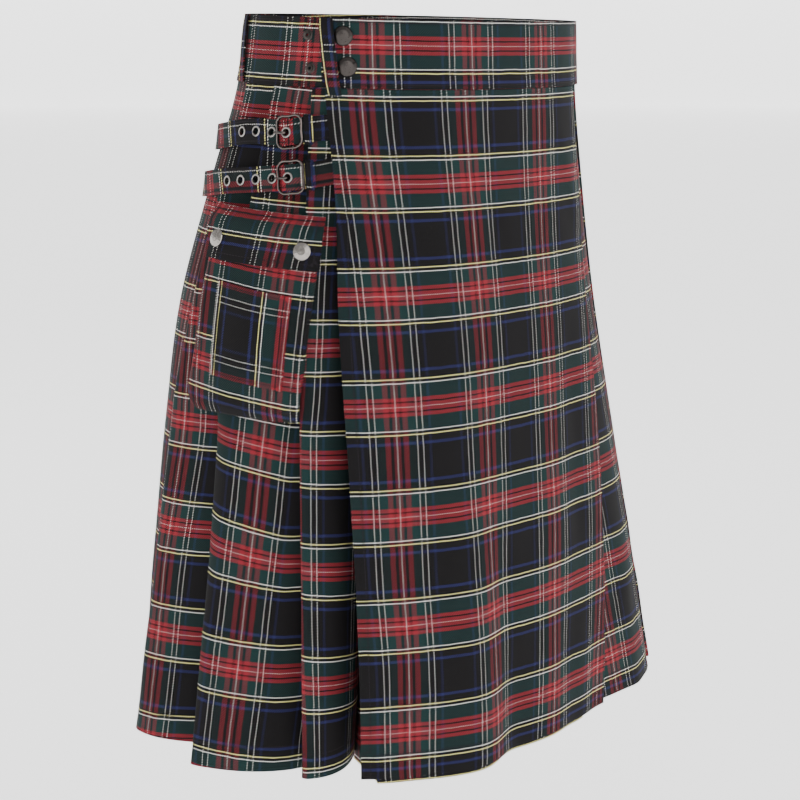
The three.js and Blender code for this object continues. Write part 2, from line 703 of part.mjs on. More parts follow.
const STRAP_CREST = 7.95;     // the strap's middle where it passes over the centre bar
const RIM = 4.5;              // radius of an eyelet's rim
const EYELET_SEAT = STRAP_THICK / 2 + 0.38;
const EYELET_PROFILE = [
  [EYELET_HOLE, -EYELET_SEAT - 0.5], [RIM - 0.4, -EYELET_SEAT - 0.5], [RIM, -EYELET_SEAT],
  [EYELET_HOLE + 0.45, -EYELET_SEAT], [EYELET_HOLE + 0.45, EYELET_SEAT], [RIM, EYELET_SEAT],
  [RIM - 0.5, EYELET_SEAT + 0.5], [EYELET_HOLE + 0.5, EYELET_SEAT + 0.5], [EYELET_HOLE, EYELET_SEAT + 0.3],
  [EYELET_HOLE, -EYELET_SEAT - 0.5],
];

function strapRise(from) {
  return smoothRead(STRAP_RISE, 'from', 'out', from);
}

function strapLean(from) {
  return smoothRead(STRAP_RISE, 'from', 'lean', from);
}

STRAPS.forEach((strap) => {
  const { name, buckle } = strap;
  const reachBack = evenly(-167, -15, 26).map((from) => [from, strapRise(from), strapLean(from)]);
  const line = strapLine(strap, [...reachBack, ...STRAP_OVER_BAR]);
  let solid = solidOf(ribbon(line, STRAP_WIDTH, STRAP_THICK));

  for (let i = 0; i < strap.eyelets; i++) {
    const from = -1 - i * EYELET_SPACING;
    const along = buckle + from;
    const out = i === 0 ? STRAP_CREST : strapRise(from);
    const slope = i === 0 ? 0 : (strapRise(from + 2) - strapRise(from - 2)) / 4;
    const lean = i === 0 ? 0 : strapLean(from) / (STRAP_WIDTH / 2);
    const matrix = seat(strapDrop(strap, along), along, out, slope, lean);
    const drill = new THREE.CylinderGeometry(EYELET_HOLE + 0.8, EYELET_HOLE + 0.8, 5, 12);
    drill.rotateX(Math.PI / 2);
    drill.applyMatrix4(matrix);
    solid = solid.subtract(solidOf(drill));
    add(`eyelet_${name}_${i + 1}`, turned(EYELET_PROFILE, 12, matrix), STEEL, 0.35, 1);
  }
  add(`strap_${name}`, geometryFrom(solid), TURNED_TARTAN);

  const loop = TAB_LOOP_TURNS.map((turn) => {
    const angle = THREE.MathUtils.degToRad(turn);
    return [TAB_LOOP_RADIUS * Math.cos(angle), BAR_OUT + TAB_LOOP_RADIUS * Math.sin(angle)];
  });
  const tab = solidOf(ribbon(strapLine(strap, [...TAB_RUN, ...loop, ...TAB_BACK]), STRAP_WIDTH, TAB_THICK));
  const slot = new THREE.BoxGeometry(8, TAB_SLOT, 9);
  const barDrop = strapDrop(strap, buckle);
  slot.translate(-0.6, 0, 0);
  slot.applyMatrix4(seat(barDrop, buckle, BAR_OUT));
  add(`buckle_tab_${name}`, geometryFrom(tab.subtract(solidOf(slot))), TURNED_TARTAN);

  const keeperAlong = buckle + KEEPER.middle;
  const keeperDrop = strapDrop(strap, keeperAlong);
  const half = STRAP_WIDTH / 2 + 0.8;
  const ringAt = (along, grow) => [
    [-half - grow, 1.4 - grow], [half + grow, 1.4 - grow], [half + grow, 4.5 + grow], [-half - grow, 4.5 + grow],
  ].map(([side, out]) => place(keeperDrop + side, along, out));
  const ends = [-KEEPER.width / 2, KEEPER.width / 2].map((side) => keeperAlong + side);
  const block = (grow, stretch) => {
    const [a, b] = ends.map((along, i) => ringAt(along + (i ? stretch : -stretch), grow));
    return solidOf(wall([[[a[3], a[2]], [a[0], a[1]]], [[b[3], b[2]], [b[0], b[1]]]]));
  };
  add(`keeper_${name}`, geometryFrom(block(KEEPER_THICK, 0).subtract(block(0, 1))), TURNED_TARTAN);

  const frameHalf = STRAP_WIDTH / 2 + 2.25;
  const corner = 3.3;
  const outline = [
    [-BUCKLE_HALF, -frameHalf + corner], [-BUCKLE_HALF, 0], [-BUCKLE_HALF, frameHalf - corner],
    [-BUCKLE_HALF + corner, frameHalf], [0, frameHalf], [BUCKLE_HALF - corner, frameHalf],
    [BUCKLE_HALF, frameHalf - corner], [BUCKLE_HALF, 0], [BUCKLE_HALF, -frameHalf + corner],
    [BUCKLE_HALF - corner, -frameHalf], [0, -frameHalf], [-BUCKLE_HALF + corner, -frameHalf],
  ].map(([from, side]) => place(strapDrop(strap, buckle + from) + side, buckle + from, FRAME_OUT));
  const frame = solidOf(wire(outline, WIRE, 8, 28, true));
  const barEnds = [-frameHalf, frameHalf].map((side) => place(barDrop + side, buckle, BAR_OUT));
  const bar = solidOf(wire(barEnds, BAR, 10, 1, false));
  add(`buckle_${name}`, geometryFrom(frame.add(bar)), STEEL, 0.35, 1);

  const barRun = barEnds[0].clone().sub(barEnds[1]).normalize();
  const hubSeat = new THREE.Matrix4().makeRotationFromQuaternion(
    new THREE.Quaternion().setFromUnitVectors(new THREE.Vector3(0, 0, 1), barRun),
  ).setPosition(barEnds[0].clone().lerp(barEnds[1], 0.5));
  const hub = turned(HUB_PROFILE, 14, hubSeat);
  const tongue = [
    [-0.9, 5.95], [-1.1, 8.2], [-1.9, 10.3], [-3.6, 11], [-5.8, 10.5], [-10.5, 8.05], [-12.4, 7.5],
  ].map(([from, out]) => place(strapDrop(strap, buckle + from), buckle + from, out));
  add(`prong_${name}`, geometryFrom(solidOf(hub).add(solidOf(wire(tongue, 1, 8, 12, false)))), STEEL, 0.35, 1);
});

export default kilt;
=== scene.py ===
"""Utility kilt: a Blender add-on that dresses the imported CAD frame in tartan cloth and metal.

The cloth pieces are laid out in three skirt coordinates, in millimetres:
    drop   how far below the waist's top edge
    along  distance round the skirt from the front centre, positive to the wearer's left
    out    distance outwards from the skirt's outer skin
"""

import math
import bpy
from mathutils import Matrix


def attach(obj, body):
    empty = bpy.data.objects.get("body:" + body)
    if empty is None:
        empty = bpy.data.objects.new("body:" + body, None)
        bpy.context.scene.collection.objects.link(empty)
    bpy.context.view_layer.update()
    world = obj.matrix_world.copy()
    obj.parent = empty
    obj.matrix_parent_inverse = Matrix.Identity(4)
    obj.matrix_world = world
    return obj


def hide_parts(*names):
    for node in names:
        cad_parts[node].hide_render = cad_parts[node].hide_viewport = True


bl_info = {
    "name": "Utility Kilt",
    "version": (1, 0, 0),
    "blender": (4, 5, 0),
    "location": "View3D > Sidebar > Kilt",
    "description": "Builds the cloth, the metal finishes and the studio stage of a utility kilt",
    "category": "Add Mesh",
}

import bpy
import numpy as np
from mathutils import Euler, Matrix, Vector

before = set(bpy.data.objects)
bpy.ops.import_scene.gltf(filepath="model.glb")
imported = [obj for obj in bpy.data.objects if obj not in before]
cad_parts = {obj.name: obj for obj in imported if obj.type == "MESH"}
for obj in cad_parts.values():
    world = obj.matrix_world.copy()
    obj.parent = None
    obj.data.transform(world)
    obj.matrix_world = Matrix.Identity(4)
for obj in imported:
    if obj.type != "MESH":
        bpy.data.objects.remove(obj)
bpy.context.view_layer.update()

MM = 0.001

# ---- the skirt's sizes in millimetres, as the CAD model has them --------------------------------
HEM = 607.0
BAND_HEIGHT = 55.0
CLOTH = 1.6
GAP = 0.45
LAYER = CLOTH + GAP
SKIRT_TOP = BAND_HEIGHT + 0.4
WAIST_DIP = 0.034
BAND_THICK = 2.4
BAND_OUT = 0.6
BAND_END = -191.0
BAND_INNER_END = 82.0
BAND_CUT = 1180.0
TUCK_TOP = 12.0
TUCK_HEM = 6.0
PLEAT_COUNT = 13
UNDER_APRON_EXTRA = 6.0
APRON_TURN_UNDER = 14.0
APRON_TURN_FALL = 10          # how far the turn under falls back at the hem
UNDER_AIR = 4                 # between the two aprons at the hem
WAVE_START = 120.0
HIP_DROP = 240.0
THIGH_DROP = 330.0
PLEAT_SWELL = 0.6
STRAP_WIDTH = 20.0
STRAP_THICK = 1.3
TAB_THICK = 1.0
KEEPER_THICK = 0.9
EYELET_SPACING = 16.8
EYELET_HOLE = 3.1
BAR_OUT = 4.3
BAR = 0.8
LOOP_WIDTH = 11.0
LOOP_THICK = 1.3
POCKET_CLOTH = 1.4
POCKET_SEAT = 1.2
# the tartan's repeat, and half of it, from the middle of a black square to that of a red group
SETT = 88.0
HALF_SETT = SETT / 2

# ---- how finely the cloth is cut into faces, in millimetres or columns --------------------------
ROW = 7.0                     # from one row of a hanging panel to the next
EDGE = 0.8                    # the narrow row at a cut edge, which makes it shade crisply
FOLD_EDGE = 1.2
APRON_COLUMNS = 58
UNDER_COLUMNS = 44
UNDER_REACH = (0.1, 0.9)      # the share of the front apron's width that the under apron's face has
PLEAT_COLUMNS = 16
BAND_COLUMNS = 230

# drop, half width, half depth, middle x, middle y, squareness of the plan (2 is an ellipse)
SECTIONS = np.array([
    (0, 167, 117, 0, 0, 2.15),
    (60, 173, 120, 0, 4, 2.2),
    (140, 187, 131, -4, 11, 2.35),
    (240, 206, 146, -10, 16, 2.45),
    (350, 221, 159, -11, 14.5, 2.6),
    (480, 240, 169, -9, 11, 2.8),
    (620, 264, 176, -7, 7, 3.0),
])

# drop, the front apron's free edge, its fold
APRON = np.array([
    (55, -189, 104),
    (140, -185, 108),
    (240, -190, 112),
    (350, -197, 109),
    (480, -206, 98),
    (620, -216, 84),
])

# share of the apron's width from its free edge, stand-off at the hem
FRONT_WAVE = np.array([
    (0, -22), (0.13, -13), (0.34, 5), (0.5, -2), (0.72, -1), (0.9, -7), (1, -7),
])

# fold place at the waist, the hip, the thigh and the hem; fall back at the hem; depth of the inner
# fold at the waist and at the hem; where the pleat's hem ends
SHOWN_FOLDS = [
    (-200, -220, -235, -276, -21, 4.4, 42, 606),
    (-238, -292, -321, -382, 0, 4.4, 46, 607),
    (-280, -347, -388, -482, 0, 4.4, 42, 602),
]
LAST_FOLD = (150, 180, 193.5, 235)
EVEN_FOLD = (0, 0, 0, 0, 0, 4.4, 42, HEM)
UNDER_FOLD = {"back": 18, "top": 6.4, "deep": 60}

# How far the cloth beside a fold rolls back: pleat number, then (drop, width, depth).
FOLD_ROLLS = {
    1: ((300, 4, 1.2), (335, 20, 7), (450, 14, 6), (560, 5, 2), (607, 4, 1.5)),
    2: ((300, 6, 2), (420, 12, 4), (607, 14, 5)),
}
EVEN_ROLL = ((60, 2.5, 0.8), (350, 5, 1.8), (607, 7, 2.6))

# Soft folds in the hanging cloth: where each starts and ends (drop, along), how far it stands out
# (negative for a trough) and how wide it is. Each grows and fades over these shares of its length.
FOLD_GROWS = (0, 0.45)
FOLD_FADES = (0.97, 1.25)
SLACK = (330, 520)            # the drops between which the cloth comes to hang free and ripple
SOFT_FOLDS = [
    {"start": (330, -108), "end": (620, -92), "out": 2.6, "width": 26},
    {"start": (360, -66), "end": (620, -52), "out": -3.0, "width": 17},
    {"start": (250, 20), "end": (600, -8), "out": 1.8, "width": 24},
    {"start": (200, 70), "end": (480, 52), "out": -1.6, "width": 16},
    {"start": (420, 60), "end": (620, 46), "out": 2.4, "width": 17},
    {"start": (95, -60), "end": (210, -20), "out": -1.0, "width": 12},
    {"start": (80, 60), "end": (170, 96), "out": 1.2, "width": 12},
    {"start": (420, 140), "end": (620, 150), "out": 2.0, "width": 16},
    {"start": (380, 190), "end": (600, 205), "out": -2.0, "width": 14},
]

# ---- where the tartan lies on each piece, in millimetres ----------------------------------------
# A red stripe's place on each hanging panel: across it and down it. The pleats' rows are those
# that show, and the last one serves all the others.
APRON_RED = (-255.0, 130.0)
UNDER_RED = (30.0, 150.0)
SIDE_RED = (-30.0, 130.0)
PLEAT_RED = [(-1.25, 84.0), (32.0, 76.0), (35.0, 71.0)]

# How far the front apron's warp swings from square to its fold: drop, then millimetres at the
# free edge, the middle and the fold.
GRAIN_DRIFT = np.array([
    (90, 9, 3, -6),
    (180, 6, 1.5, 0),
    (265, 7, 1, 2),
    (350, 8, 6, 12),
    (440, 8, 7, 13),
    (525, 3, 5, 20),
    (607, 3, 5, 22),
])

# How the pressed pleats that show pull their weave off square: drop, how far the warp swings
# to the fold, and how far the weft sags at the fold and PLEAT_FACE away from it.
PLEAT_DRIFT = {
    0: (
        (60, 0, 0, 0), (300, 4, -1.5, 2), (327, 6, -1.5, 3), (368, 6, -1, 6), (414, 6, 0, 7.5),
        (455, 6, 0, 9), (501, 5, 3, 12), (542, 3.5, 5, 12), (590, 2, 7.5, 9),
    ),
    1: (
        (60, 6, -1, 2.5), (80, 5, -1, 2.5), (120, -2, 1, 4), (155, -6, 3, 6), (311, -18, -5, 3.5),
        (350, -17, -6, 7), (394, -15.5, -7.5, 8), (440, -12.5, -2, 9), (494, -9, 4, 10),
        (538, -7, 6, 11.5), (585, -4, 8, 14),
    ),
    2: (
        (60, 44, 8, 8), (90, 44, 7, 7), (155, 44, 0, 0), (330, 12, -2, -2), (398, 11, -1, -1.5),
        (443, 12, 0.5, -1.5), (488, 11, 1, 0), (531, 8, 3.5, 2), (580, 5, 8, 3.5), (607, 4, 9, 4),
    ),
}
PLEAT_FACE = 75

# Where red stripes of the waistband lie: on its front and, after its turn round the back, on the
# lap that goes under its own end.
BAND_RED = {"front": -150.0, "front_down": 20.5, "lap": -204.5, "lap_down": 27.5}
BAND_BACK = (300.0, 620.0)
BAND_LAP = (-330.0, -215.0)   # where the band's inner end sinks under its outer one

# Millimetres of the pocket's cloth for each millimetre round the skirt. The cloth hangs askew, so
# red is where (along, drop) a red stripe of its warp and of its weft lie, and the slopes say how
# fast the warp swings on the way down and the weft sinks on the way to the front.
POCKET_FULLNESS = 1.12
POCKET_WARP = {"red": (-228, 200), "slope": 0.22}
POCKET_WEFT = {"red": (-215, 198), "slope": 0.09}
FLAP_WARP = {"red": (-222, 151), "slope": 0.33}
FLAP_CLOTH = 43               # of cloth down the flap
PATCH_CLOTH = 71              # of cloth across the patch
PATCH_CUT = (49.7, -25.5)     # where the patch was cut from the turned cloth: warp and weft
# Where the turned cloth of each strap and its tab was cut: across the strip and along it.
STRAP_PHASE = {"upper": (-16.0, 47.0), "lower": (33.25, -33.4)}
KEEPER_PHASE = (40.0, 12.0)
LOOP_PHASE = (0.0, -17.4)     # a yellow line of the turned cloth runs down the loop's edge


# ---- small mathematics --------------------------------------------------------------------------
def lerp(a, b, t):
    return a + (b - a) * t


def smooth_step(value, low, high):
    t = np.clip((value - low) / (high - low), 0, 1)
    return t * t * (3 - 2 * t)


def smooth_read(xs, ys, at):
    """Values of a curve through some points, with its corners rounded off."""
    xs = np.asarray(xs, float)
    ys = np.asarray(ys, float)
    index = np.arange(len(xs))
    before = np.maximum(index - 1, 0)
    after = np.minimum(index + 1, len(xs) - 1)
    slope = (ys[after] - ys[before]) / (xs[after] - xs[before])
    at = np.clip(at, xs[0], xs[-1])
    i = np.clip(np.searchsorted(xs, at, side="right") - 1, 0, len(xs) - 2)
    width = xs[i + 1] - xs[i]
    t = (at - xs[i]) / width
    t2 = t * t
    t3 = t2 * t
    return (
        (2 * t3 - 3 * t2 + 1) * ys[i]
        + (t3 - 2 * t2 + t) * width * slope[i]
        + (3 * t2 - 2 * t3) * ys[i + 1]
        + (t3 - t2) * width * slope[i + 1]
    )


def read_table(table, column, at):
    """Values of a table's column at some places in its first column."""
    table = np.asarray(table, float)
    return smooth_read(table[:, 0], table[:, column], at)


def hem_share(drop):
    """0 under the band, 1 at the hem."""
    return float(np.clip((drop - BAND_HEIGHT) / (HEM - BAND_HEIGHT), 0, 1.02))


def wave_share(drop):
    """0 where the skirt starts to wave, 1 at the hem."""
    return max((drop - WAVE_START) / (HEM - WAVE_START), 0)


def run_length(x, y):
    """How far along a chain of points each one lies."""
    return np.concatenate([[0], np.cumsum(np.hypot(np.diff(x), np.diff(y)))])


def steps(points, counts):
    """A chain through points with each stretch cut into so many equal steps."""
    chain = [points[0]]
    for start, end, count in zip(points, points[1:], counts):
        for i in range(1, count + 1):
            chain.append(tuple(lerp(a, b, i / count) for a, b in zip(start, end)))
    return chain


def insets(count, length, edge=EDGE):
    """Shares of a length from 0 to 1, with a narrow step at each end."""
    narrow = edge / length
    inner = np.linspace(0, 1, count + 1)[1:-1]
    return np.array([0.0, narrow, *inner, 1 - narrow, 1.0])


def strip_sides(count, width, edge=EDGE):
    """Places across a strip, 0 in its middle."""
    return insets(count, width, edge) * width - width / 2


# ---- the skirt's skin ---------------------------------------------------------------------------
class Skin:
    """The skirt's outer skin: turns drop, along and out into points of the frame, in metres."""

    LEVEL = 2.5
    TURNS = 360
    LOWEST = 642.5

    def __init__(self):
        self.drops = np.arange(0, self.LOWEST, self.LEVEL)
        turn = np.linspace(-math.pi, math.pi, self.TURNS + 1)
        side, front = np.sin(turn), np.cos(turn)
        self.rings = []
        for drop in self.drops:
            half_w, half_d, mid_x, mid_y, square = (read_table(SECTIONS, k, drop) for k in range(1, 6))
            power = 2 / square
            x = mid_x + half_w * np.sign(side) * np.abs(side) ** power
            y = mid_y - half_d * np.sign(front) * np.abs(front) ** power
            reach = run_length(x, y)
            reach -= reach[self.TURNS // 2]
            tx = np.roll(x[:-1], -1) - np.roll(x[:-1], 1)
            ty = np.roll(y[:-1], -1) - np.roll(y[:-1], 1)
            size = np.hypot(tx, ty)
            tx, ty = np.append(tx / size, tx[0] / size[0]), np.append(ty / size, ty[0] / size[0])
            self.rings.append((reach, x, y, tx, ty))

    def level(self, drop):
        """The ring above a drop, and how far on towards the next ring it lies."""
        level = np.clip(drop / self.LEVEL, 0, len(self.drops) - 1.001)
        return np.asarray(level).astype(int), level - np.asarray(level).astype(int)

    def girth(self, drop):
        low, mix = self.level(drop)
        spans = [self.rings[k][0][-1] - self.rings[k][0][0] for k in (low, low + 1)]
        return lerp(*spans, float(mix))

    def place(self, drop, along, out):
        """Points of the frame for arrays of drop, along and out."""
        shape = np.broadcast(drop, along, out).shape
        drop, along, out = (
            np.broadcast_to(np.asarray(v, float), shape).reshape(-1) for v in (drop, along, out)
        )
        low, mix = self.level(drop)
        flat = np.zeros((4,) + drop.shape)
        for k in np.unique(low):
            chosen = low == k
            for step, weight in ((0, 1 - mix[chosen]), (1, mix[chosen])):
                reach, *columns = self.rings[k + step]
                span = reach[-1] - reach[0]
                s = reach[0] + np.mod(along[chosen] - reach[0], span)
                for row, column in enumerate(columns):
                    flat[row][chosen] += weight * np.interp(s, reach, column)
        x, y, tx, ty = flat
        size = np.hypot(tx, ty)
        px = x + ty / size * out
        py = y - tx / size * out
        dip = WAIST_DIP * py * (1 - np.minimum(drop / HEM, 1))
        return np.stack([px, py, dip - drop], axis=-1).reshape(shape + (3,)) * MM


SKIN = Skin()


def drape(drop, along):
    """How far the soft folds, and small ripples low down, push the cloth outwards."""
    total = np.zeros(np.broadcast(drop, along).shape)
    for fold in SOFT_FOLDS:
        (d0, a0), (d1, a1) = fold["start"], fold["end"]
        t = (drop - d0) / (d1 - d0)
        middle = a0 + (a1 - a0) * t
        ends = smooth_step(t, *FOLD_GROWS) * (1 - smooth_step(t, *FOLD_FADES))
        total = total + fold["out"] * ends * np.exp(-(((along - middle) / fold["width"]) ** 2))
    slack = smooth_step(drop, *SLACK)
    ripple = 0.35 * np.sin(along / 9.0 + drop / 47.0) * np.sin(drop / 23.0 - along / 61.0)
    ripple = ripple + 0.3 * np.sin(along / 17.0 - drop / 31.0 + 1.3)
    return total + ripple * slack


# ---- pieces of mesh -----------------------------------------------------------------------------
def add_object(name, data):
    obj = bpy.data.objects.new(name, data)
    bpy.context.scene.collection.objects.link(obj)
    return obj


def mesh_from(name, points, faces):
    mesh = bpy.data.meshes.new(name)
    mesh.from_pydata([tuple(p) for p in points], [], faces)
    return mesh


def pair(first, second):
    """UV coordinates in metres from two arrays in millimetres."""
    return np.stack(np.broadcast_arrays(first, second), axis=-1) * MM


def nearest_seam(*lines):
    """Of several (distance, run) pairs of arrays, the one whose stitch line is nearest."""
    arrays = np.broadcast_arrays(*(values for line in lines for values in line))
    distance, run = np.stack(arrays[0::2]), np.stack(arrays[1::2])
    pick = np.argmin(np.abs(distance), axis=0)[None]
    return pair(np.take_along_axis(distance, pick, 0)[0], np.take_along_axis(run, pick, 0)[0])


def grid_object(name, points, weave, seams, material, thickness, closed=False):
    """A sheet from a grid of points (rows, columns, 3), given its thickness by a modifier.

    weave is where each point lies on the bolt of cloth, and seams is its distance from the nearest
    stitch line and its run along it."""
    rows, columns = points.shape[:2]
    index = np.arange(rows * columns).reshape(rows, columns)
    right = np.roll(index, -1, axis=1) if closed else index[:, 1:]
    left = index if closed else index[:, :-1]
    faces = np.stack([left[:-1], right[:-1], right[1:], left[1:]], axis=-1).reshape(-1, 4)
    mesh = mesh_from(name, points.reshape(-1, 3), faces.tolist())
    corners = np.empty(len(mesh.loops), int)
    mesh.loops.foreach_get("vertex_index", corners)
    for label, values in (("Weave", weave), ("Seam", seams)):
        layer = mesh.uv_layers.new(name=label)
        layer.data.foreach_set("uv", values.reshape(-1, 2)[corners].ravel())
    mesh.polygons.foreach_set("use_smooth", [True] * len(mesh.polygons))
    mesh.materials.append(material)
    obj = add_object(name, mesh)
    shell = obj.modifiers.new("Thickness", "SOLIDIFY")
    shell.thickness = thickness * MM
    shell.offset = 0
    shell.use_even_offset = True
    return obj


def dress(obj, node):
    """Hangs a cloth piece on the root and hides the CAD node that it stands for."""
    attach(obj, "root")
    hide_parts(node)


def prism(outline, height, matrix):
    """Vertices and faces of an upright prism over a flat outline, moved by a matrix."""
    count = len(outline)
    points = [matrix @ Vector((x, y, z)) for z in (-height / 2, height / 2) for x, y in outline]
    faces = [[count + (i + 1) % count, count + i, i, (i + 1) % count] for i in range(count)]
    faces += [list(range(count))[::-1], [count + i for i in range(count)]]
    return points, faces


def cut_through(obj, prisms):
    """Cuts openings through a sheet, with its thickness applied first."""
    points, faces = [], []
    for some_points, some_faces in prisms:
        faces += [[len(points) + i for i in face] for face in some_faces]
        points += some_points
    mesh = mesh_from("cutter", points, faces)
    cutter = add_object("cutter", mesh)
    boolean = obj.modifiers.new("Openings", "BOOLEAN")
    boolean.operation = "DIFFERENCE"
    boolean.solver = "EXACT"
    boolean.object = cutter
    graph = bpy.context.evaluated_depsgraph_get()
    cut = bpy.data.meshes.new_from_object(obj.evaluated_get(graph), depsgraph=graph)
    obj.modifiers.clear()
    obj.data = cut
    bpy.data.objects.remove(cutter)
    bpy.data.meshes.remove(mesh)


# ---- colours and settings -----------------------------------------------------------------------
def colour(code):
    """A linear colour from an sRGB hex code."""
    channels = [int(code[i:i + 2], 16) / 255 for i in (1, 3, 5)]
    return tuple(c / 12.92 if c <= 0.04045 else ((c + 0.055) / 1.055) ** 2.4 for c in channels) + (1.0,)


def thread(name, code):
    """A setting for the colour of one of the tartan's threads."""
    return bpy.props.FloatVectorProperty(
        name=f"{name} thread", description=f"Colour of the tartan's {name.lower()} thread", size=3,
        default=colour(code)[:3], min=0.0, max=1.0, subtype="COLOR",
    )


class KiltSettings(bpy.types.PropertyGroup):
    """Sizes and colours of the cloth and the stage that can be changed before building."""

    thickness: bpy.props.FloatProperty(
        name="Cloth thickness", description="Thickness of one layer of tartan", default=0.0012,
        min=0.0003, max=0.003, precision=4, unit="LENGTH",
    )
    twill: bpy.props.FloatProperty(
        name="Twill rib", description="Distance from one diagonal rib of the weave to the next",
        default=0.0021, min=0.0005, max=0.01, precision=4, unit="LENGTH",
    )
    gap: bpy.props.FloatProperty(
        name="Gap light", description="How light the gaps between the thread floats are",
        default=0.45, min=0.0, max=1.0, subtype="FACTOR",
    )
    relief: bpy.props.FloatProperty(
        name="Weave relief", description="Height of the thread ribs", default=0.00012,
        min=0.0, max=0.001, precision=5, unit="LENGTH",
    )
    stitch: bpy.props.FloatProperty(
        name="Stitch length", description="Length of one stitch and its gap", default=0.0032,
        min=0.001, max=0.01, precision=4, unit="LENGTH",
    )
    hem_turn: bpy.props.FloatProperty(
        name="Hem turn", description="Height of the hem's stitch line above the hem", default=0.02,
        min=0.005, max=0.05, unit="LENGTH",
    )
    black: thread("Black", "#0c0a0b")
    green: thread("Green", "#122b2a")
    blue: thread("Blue", "#222450")
    red: thread("Red", "#86232c")
    white: thread("White", "#f2efe8")
    yellow: thread("Yellow", "#e8e090")
    lens: bpy.props.FloatProperty(
        name="Lens", description="Focal length of the camera in millimetres", default=87.15, min=20, max=300,
        unit="CAMERA",
    )
    light: bpy.props.FloatProperty(
        name="Light", description="Strength of the key light in watts", default=30.0, min=0, max=500,
        unit="POWER",
    )
    sky: bpy.props.FloatProperty(
        name="Sky", description="Strength of the soft light from all round", default=0.72, min=0, max=20,
    )
    table: bpy.props.FloatProperty(
        name="Light table", description="Strength of the light from the floor", default=1.5, min=0, max=20,
    )


# ---- materials ----------------------------------------------------------------------------------
def add_node(tree, kind, inputs=None, **values):
    """A shader node with its own values set. Each input takes a value, a socket or another node."""
    node = tree.nodes.new(f"ShaderNode{kind}")
    for key, value in values.items():
        setattr(node, key, value)
    for key, value in (inputs or {}).items():
        if isinstance(value, bpy.types.Node):
            value = value.outputs[0]
        if isinstance(value, bpy.types.NodeSocket):
            tree.links.new(value, node.inputs[key])
        else:
            node.inputs[key].default_value = value
    return node


def new_material(name):
    """An empty material and its node tree."""
    material = bpy.data.materials.new(name)
    material.use_nodes = True
    material.node_tree.nodes.clear()
    return material, material.node_tree


def surface(tree, inputs):
    """Ends a material with a Principled shader of these inputs."""
    add_node(tree, "OutputMaterial", {"Surface": add_node(tree, "BsdfPrincipled", inputs)})


# One half of the sett, from the middle of the black square to the middle of the red group:
# where each stripe of thread starts, in millimetres, its colour, and the share of the face where
# that thread lies on top. The fine light lines are thicker yarn, which covers more of the face.
WARP_STRIPES = [
    (0.0, "black", 0.2), (13.7, "blue", 0.18), (16.0, "black", 0.2), (20.8, "white", 0.22),
    (21.8, "black", 0.2), (25.8, "white", 0.22), (26.8, "green", 0.2), (34.0, "red", 0.26),
    (38.5, "black", 0.2), (41.0, "red", 0.26), (43.45, "white", 0.16),
]
WEFT_STRIPES = [
    (0.0, "black", 0.5), (13.7, "blue", 0.5), (16.1, "black", 0.5), (21.45, "yellow", 0.62),
    (22.2, "black", 0.5), (24.7, "white", 0.57), (25.35, "green", 0.5), (36.6, "red", 0.52),
    (39.4, "black", 0.42), (40.6, "red", 0.52), (43.75, "white", 0.3),
]
# How fine the cloth's unevenness is, in repeats for each millimetre.
WANDER_SCALE = 0.12           # the threads wander over about 8 mm
MOTTLE_SCALE = 0.035          # patches of uneven dye, about 30 mm across
SLUB_SCALE = (1.6, 0.12, 1)   # thick places in the yarn, about 0.6 mm by 8 mm
# In millimetres: how far a thread wanders, half the stitch thread's width and its groove's reach.
WANDER = 0.9
STITCH_HALF = 0.35
STITCH_GROOVE = 1.6
STITCH_SHOWN = 0.72           # the share of a stitch's length that lies on top


def stripes(tree, coordinate, table, settings):
    """The thread colour and its share of the face at a coordinate in millimetres."""
    half = add_node(tree, "Math", {0: coordinate, 1: HALF_SETT}, operation="PINGPONG")
    share = add_node(tree, "Math", {0: half, 1: HALF_SETT}, operation="DIVIDE")
    ramp = add_node(tree, "ValToRGB", {"Fac": share})
    ramp.color_ramp.interpolation = "CONSTANT"
    elements = ramp.color_ramp.elements
    elements.remove(elements[1])
    for i, (start, name, cover) in enumerate(table):
        element = elements[0] if i == 0 else elements.new(start / HALF_SETT)
        element.color = (*getattr(settings, name), cover)
    return ramp.outputs["Color"], ramp.outputs["Alpha"]


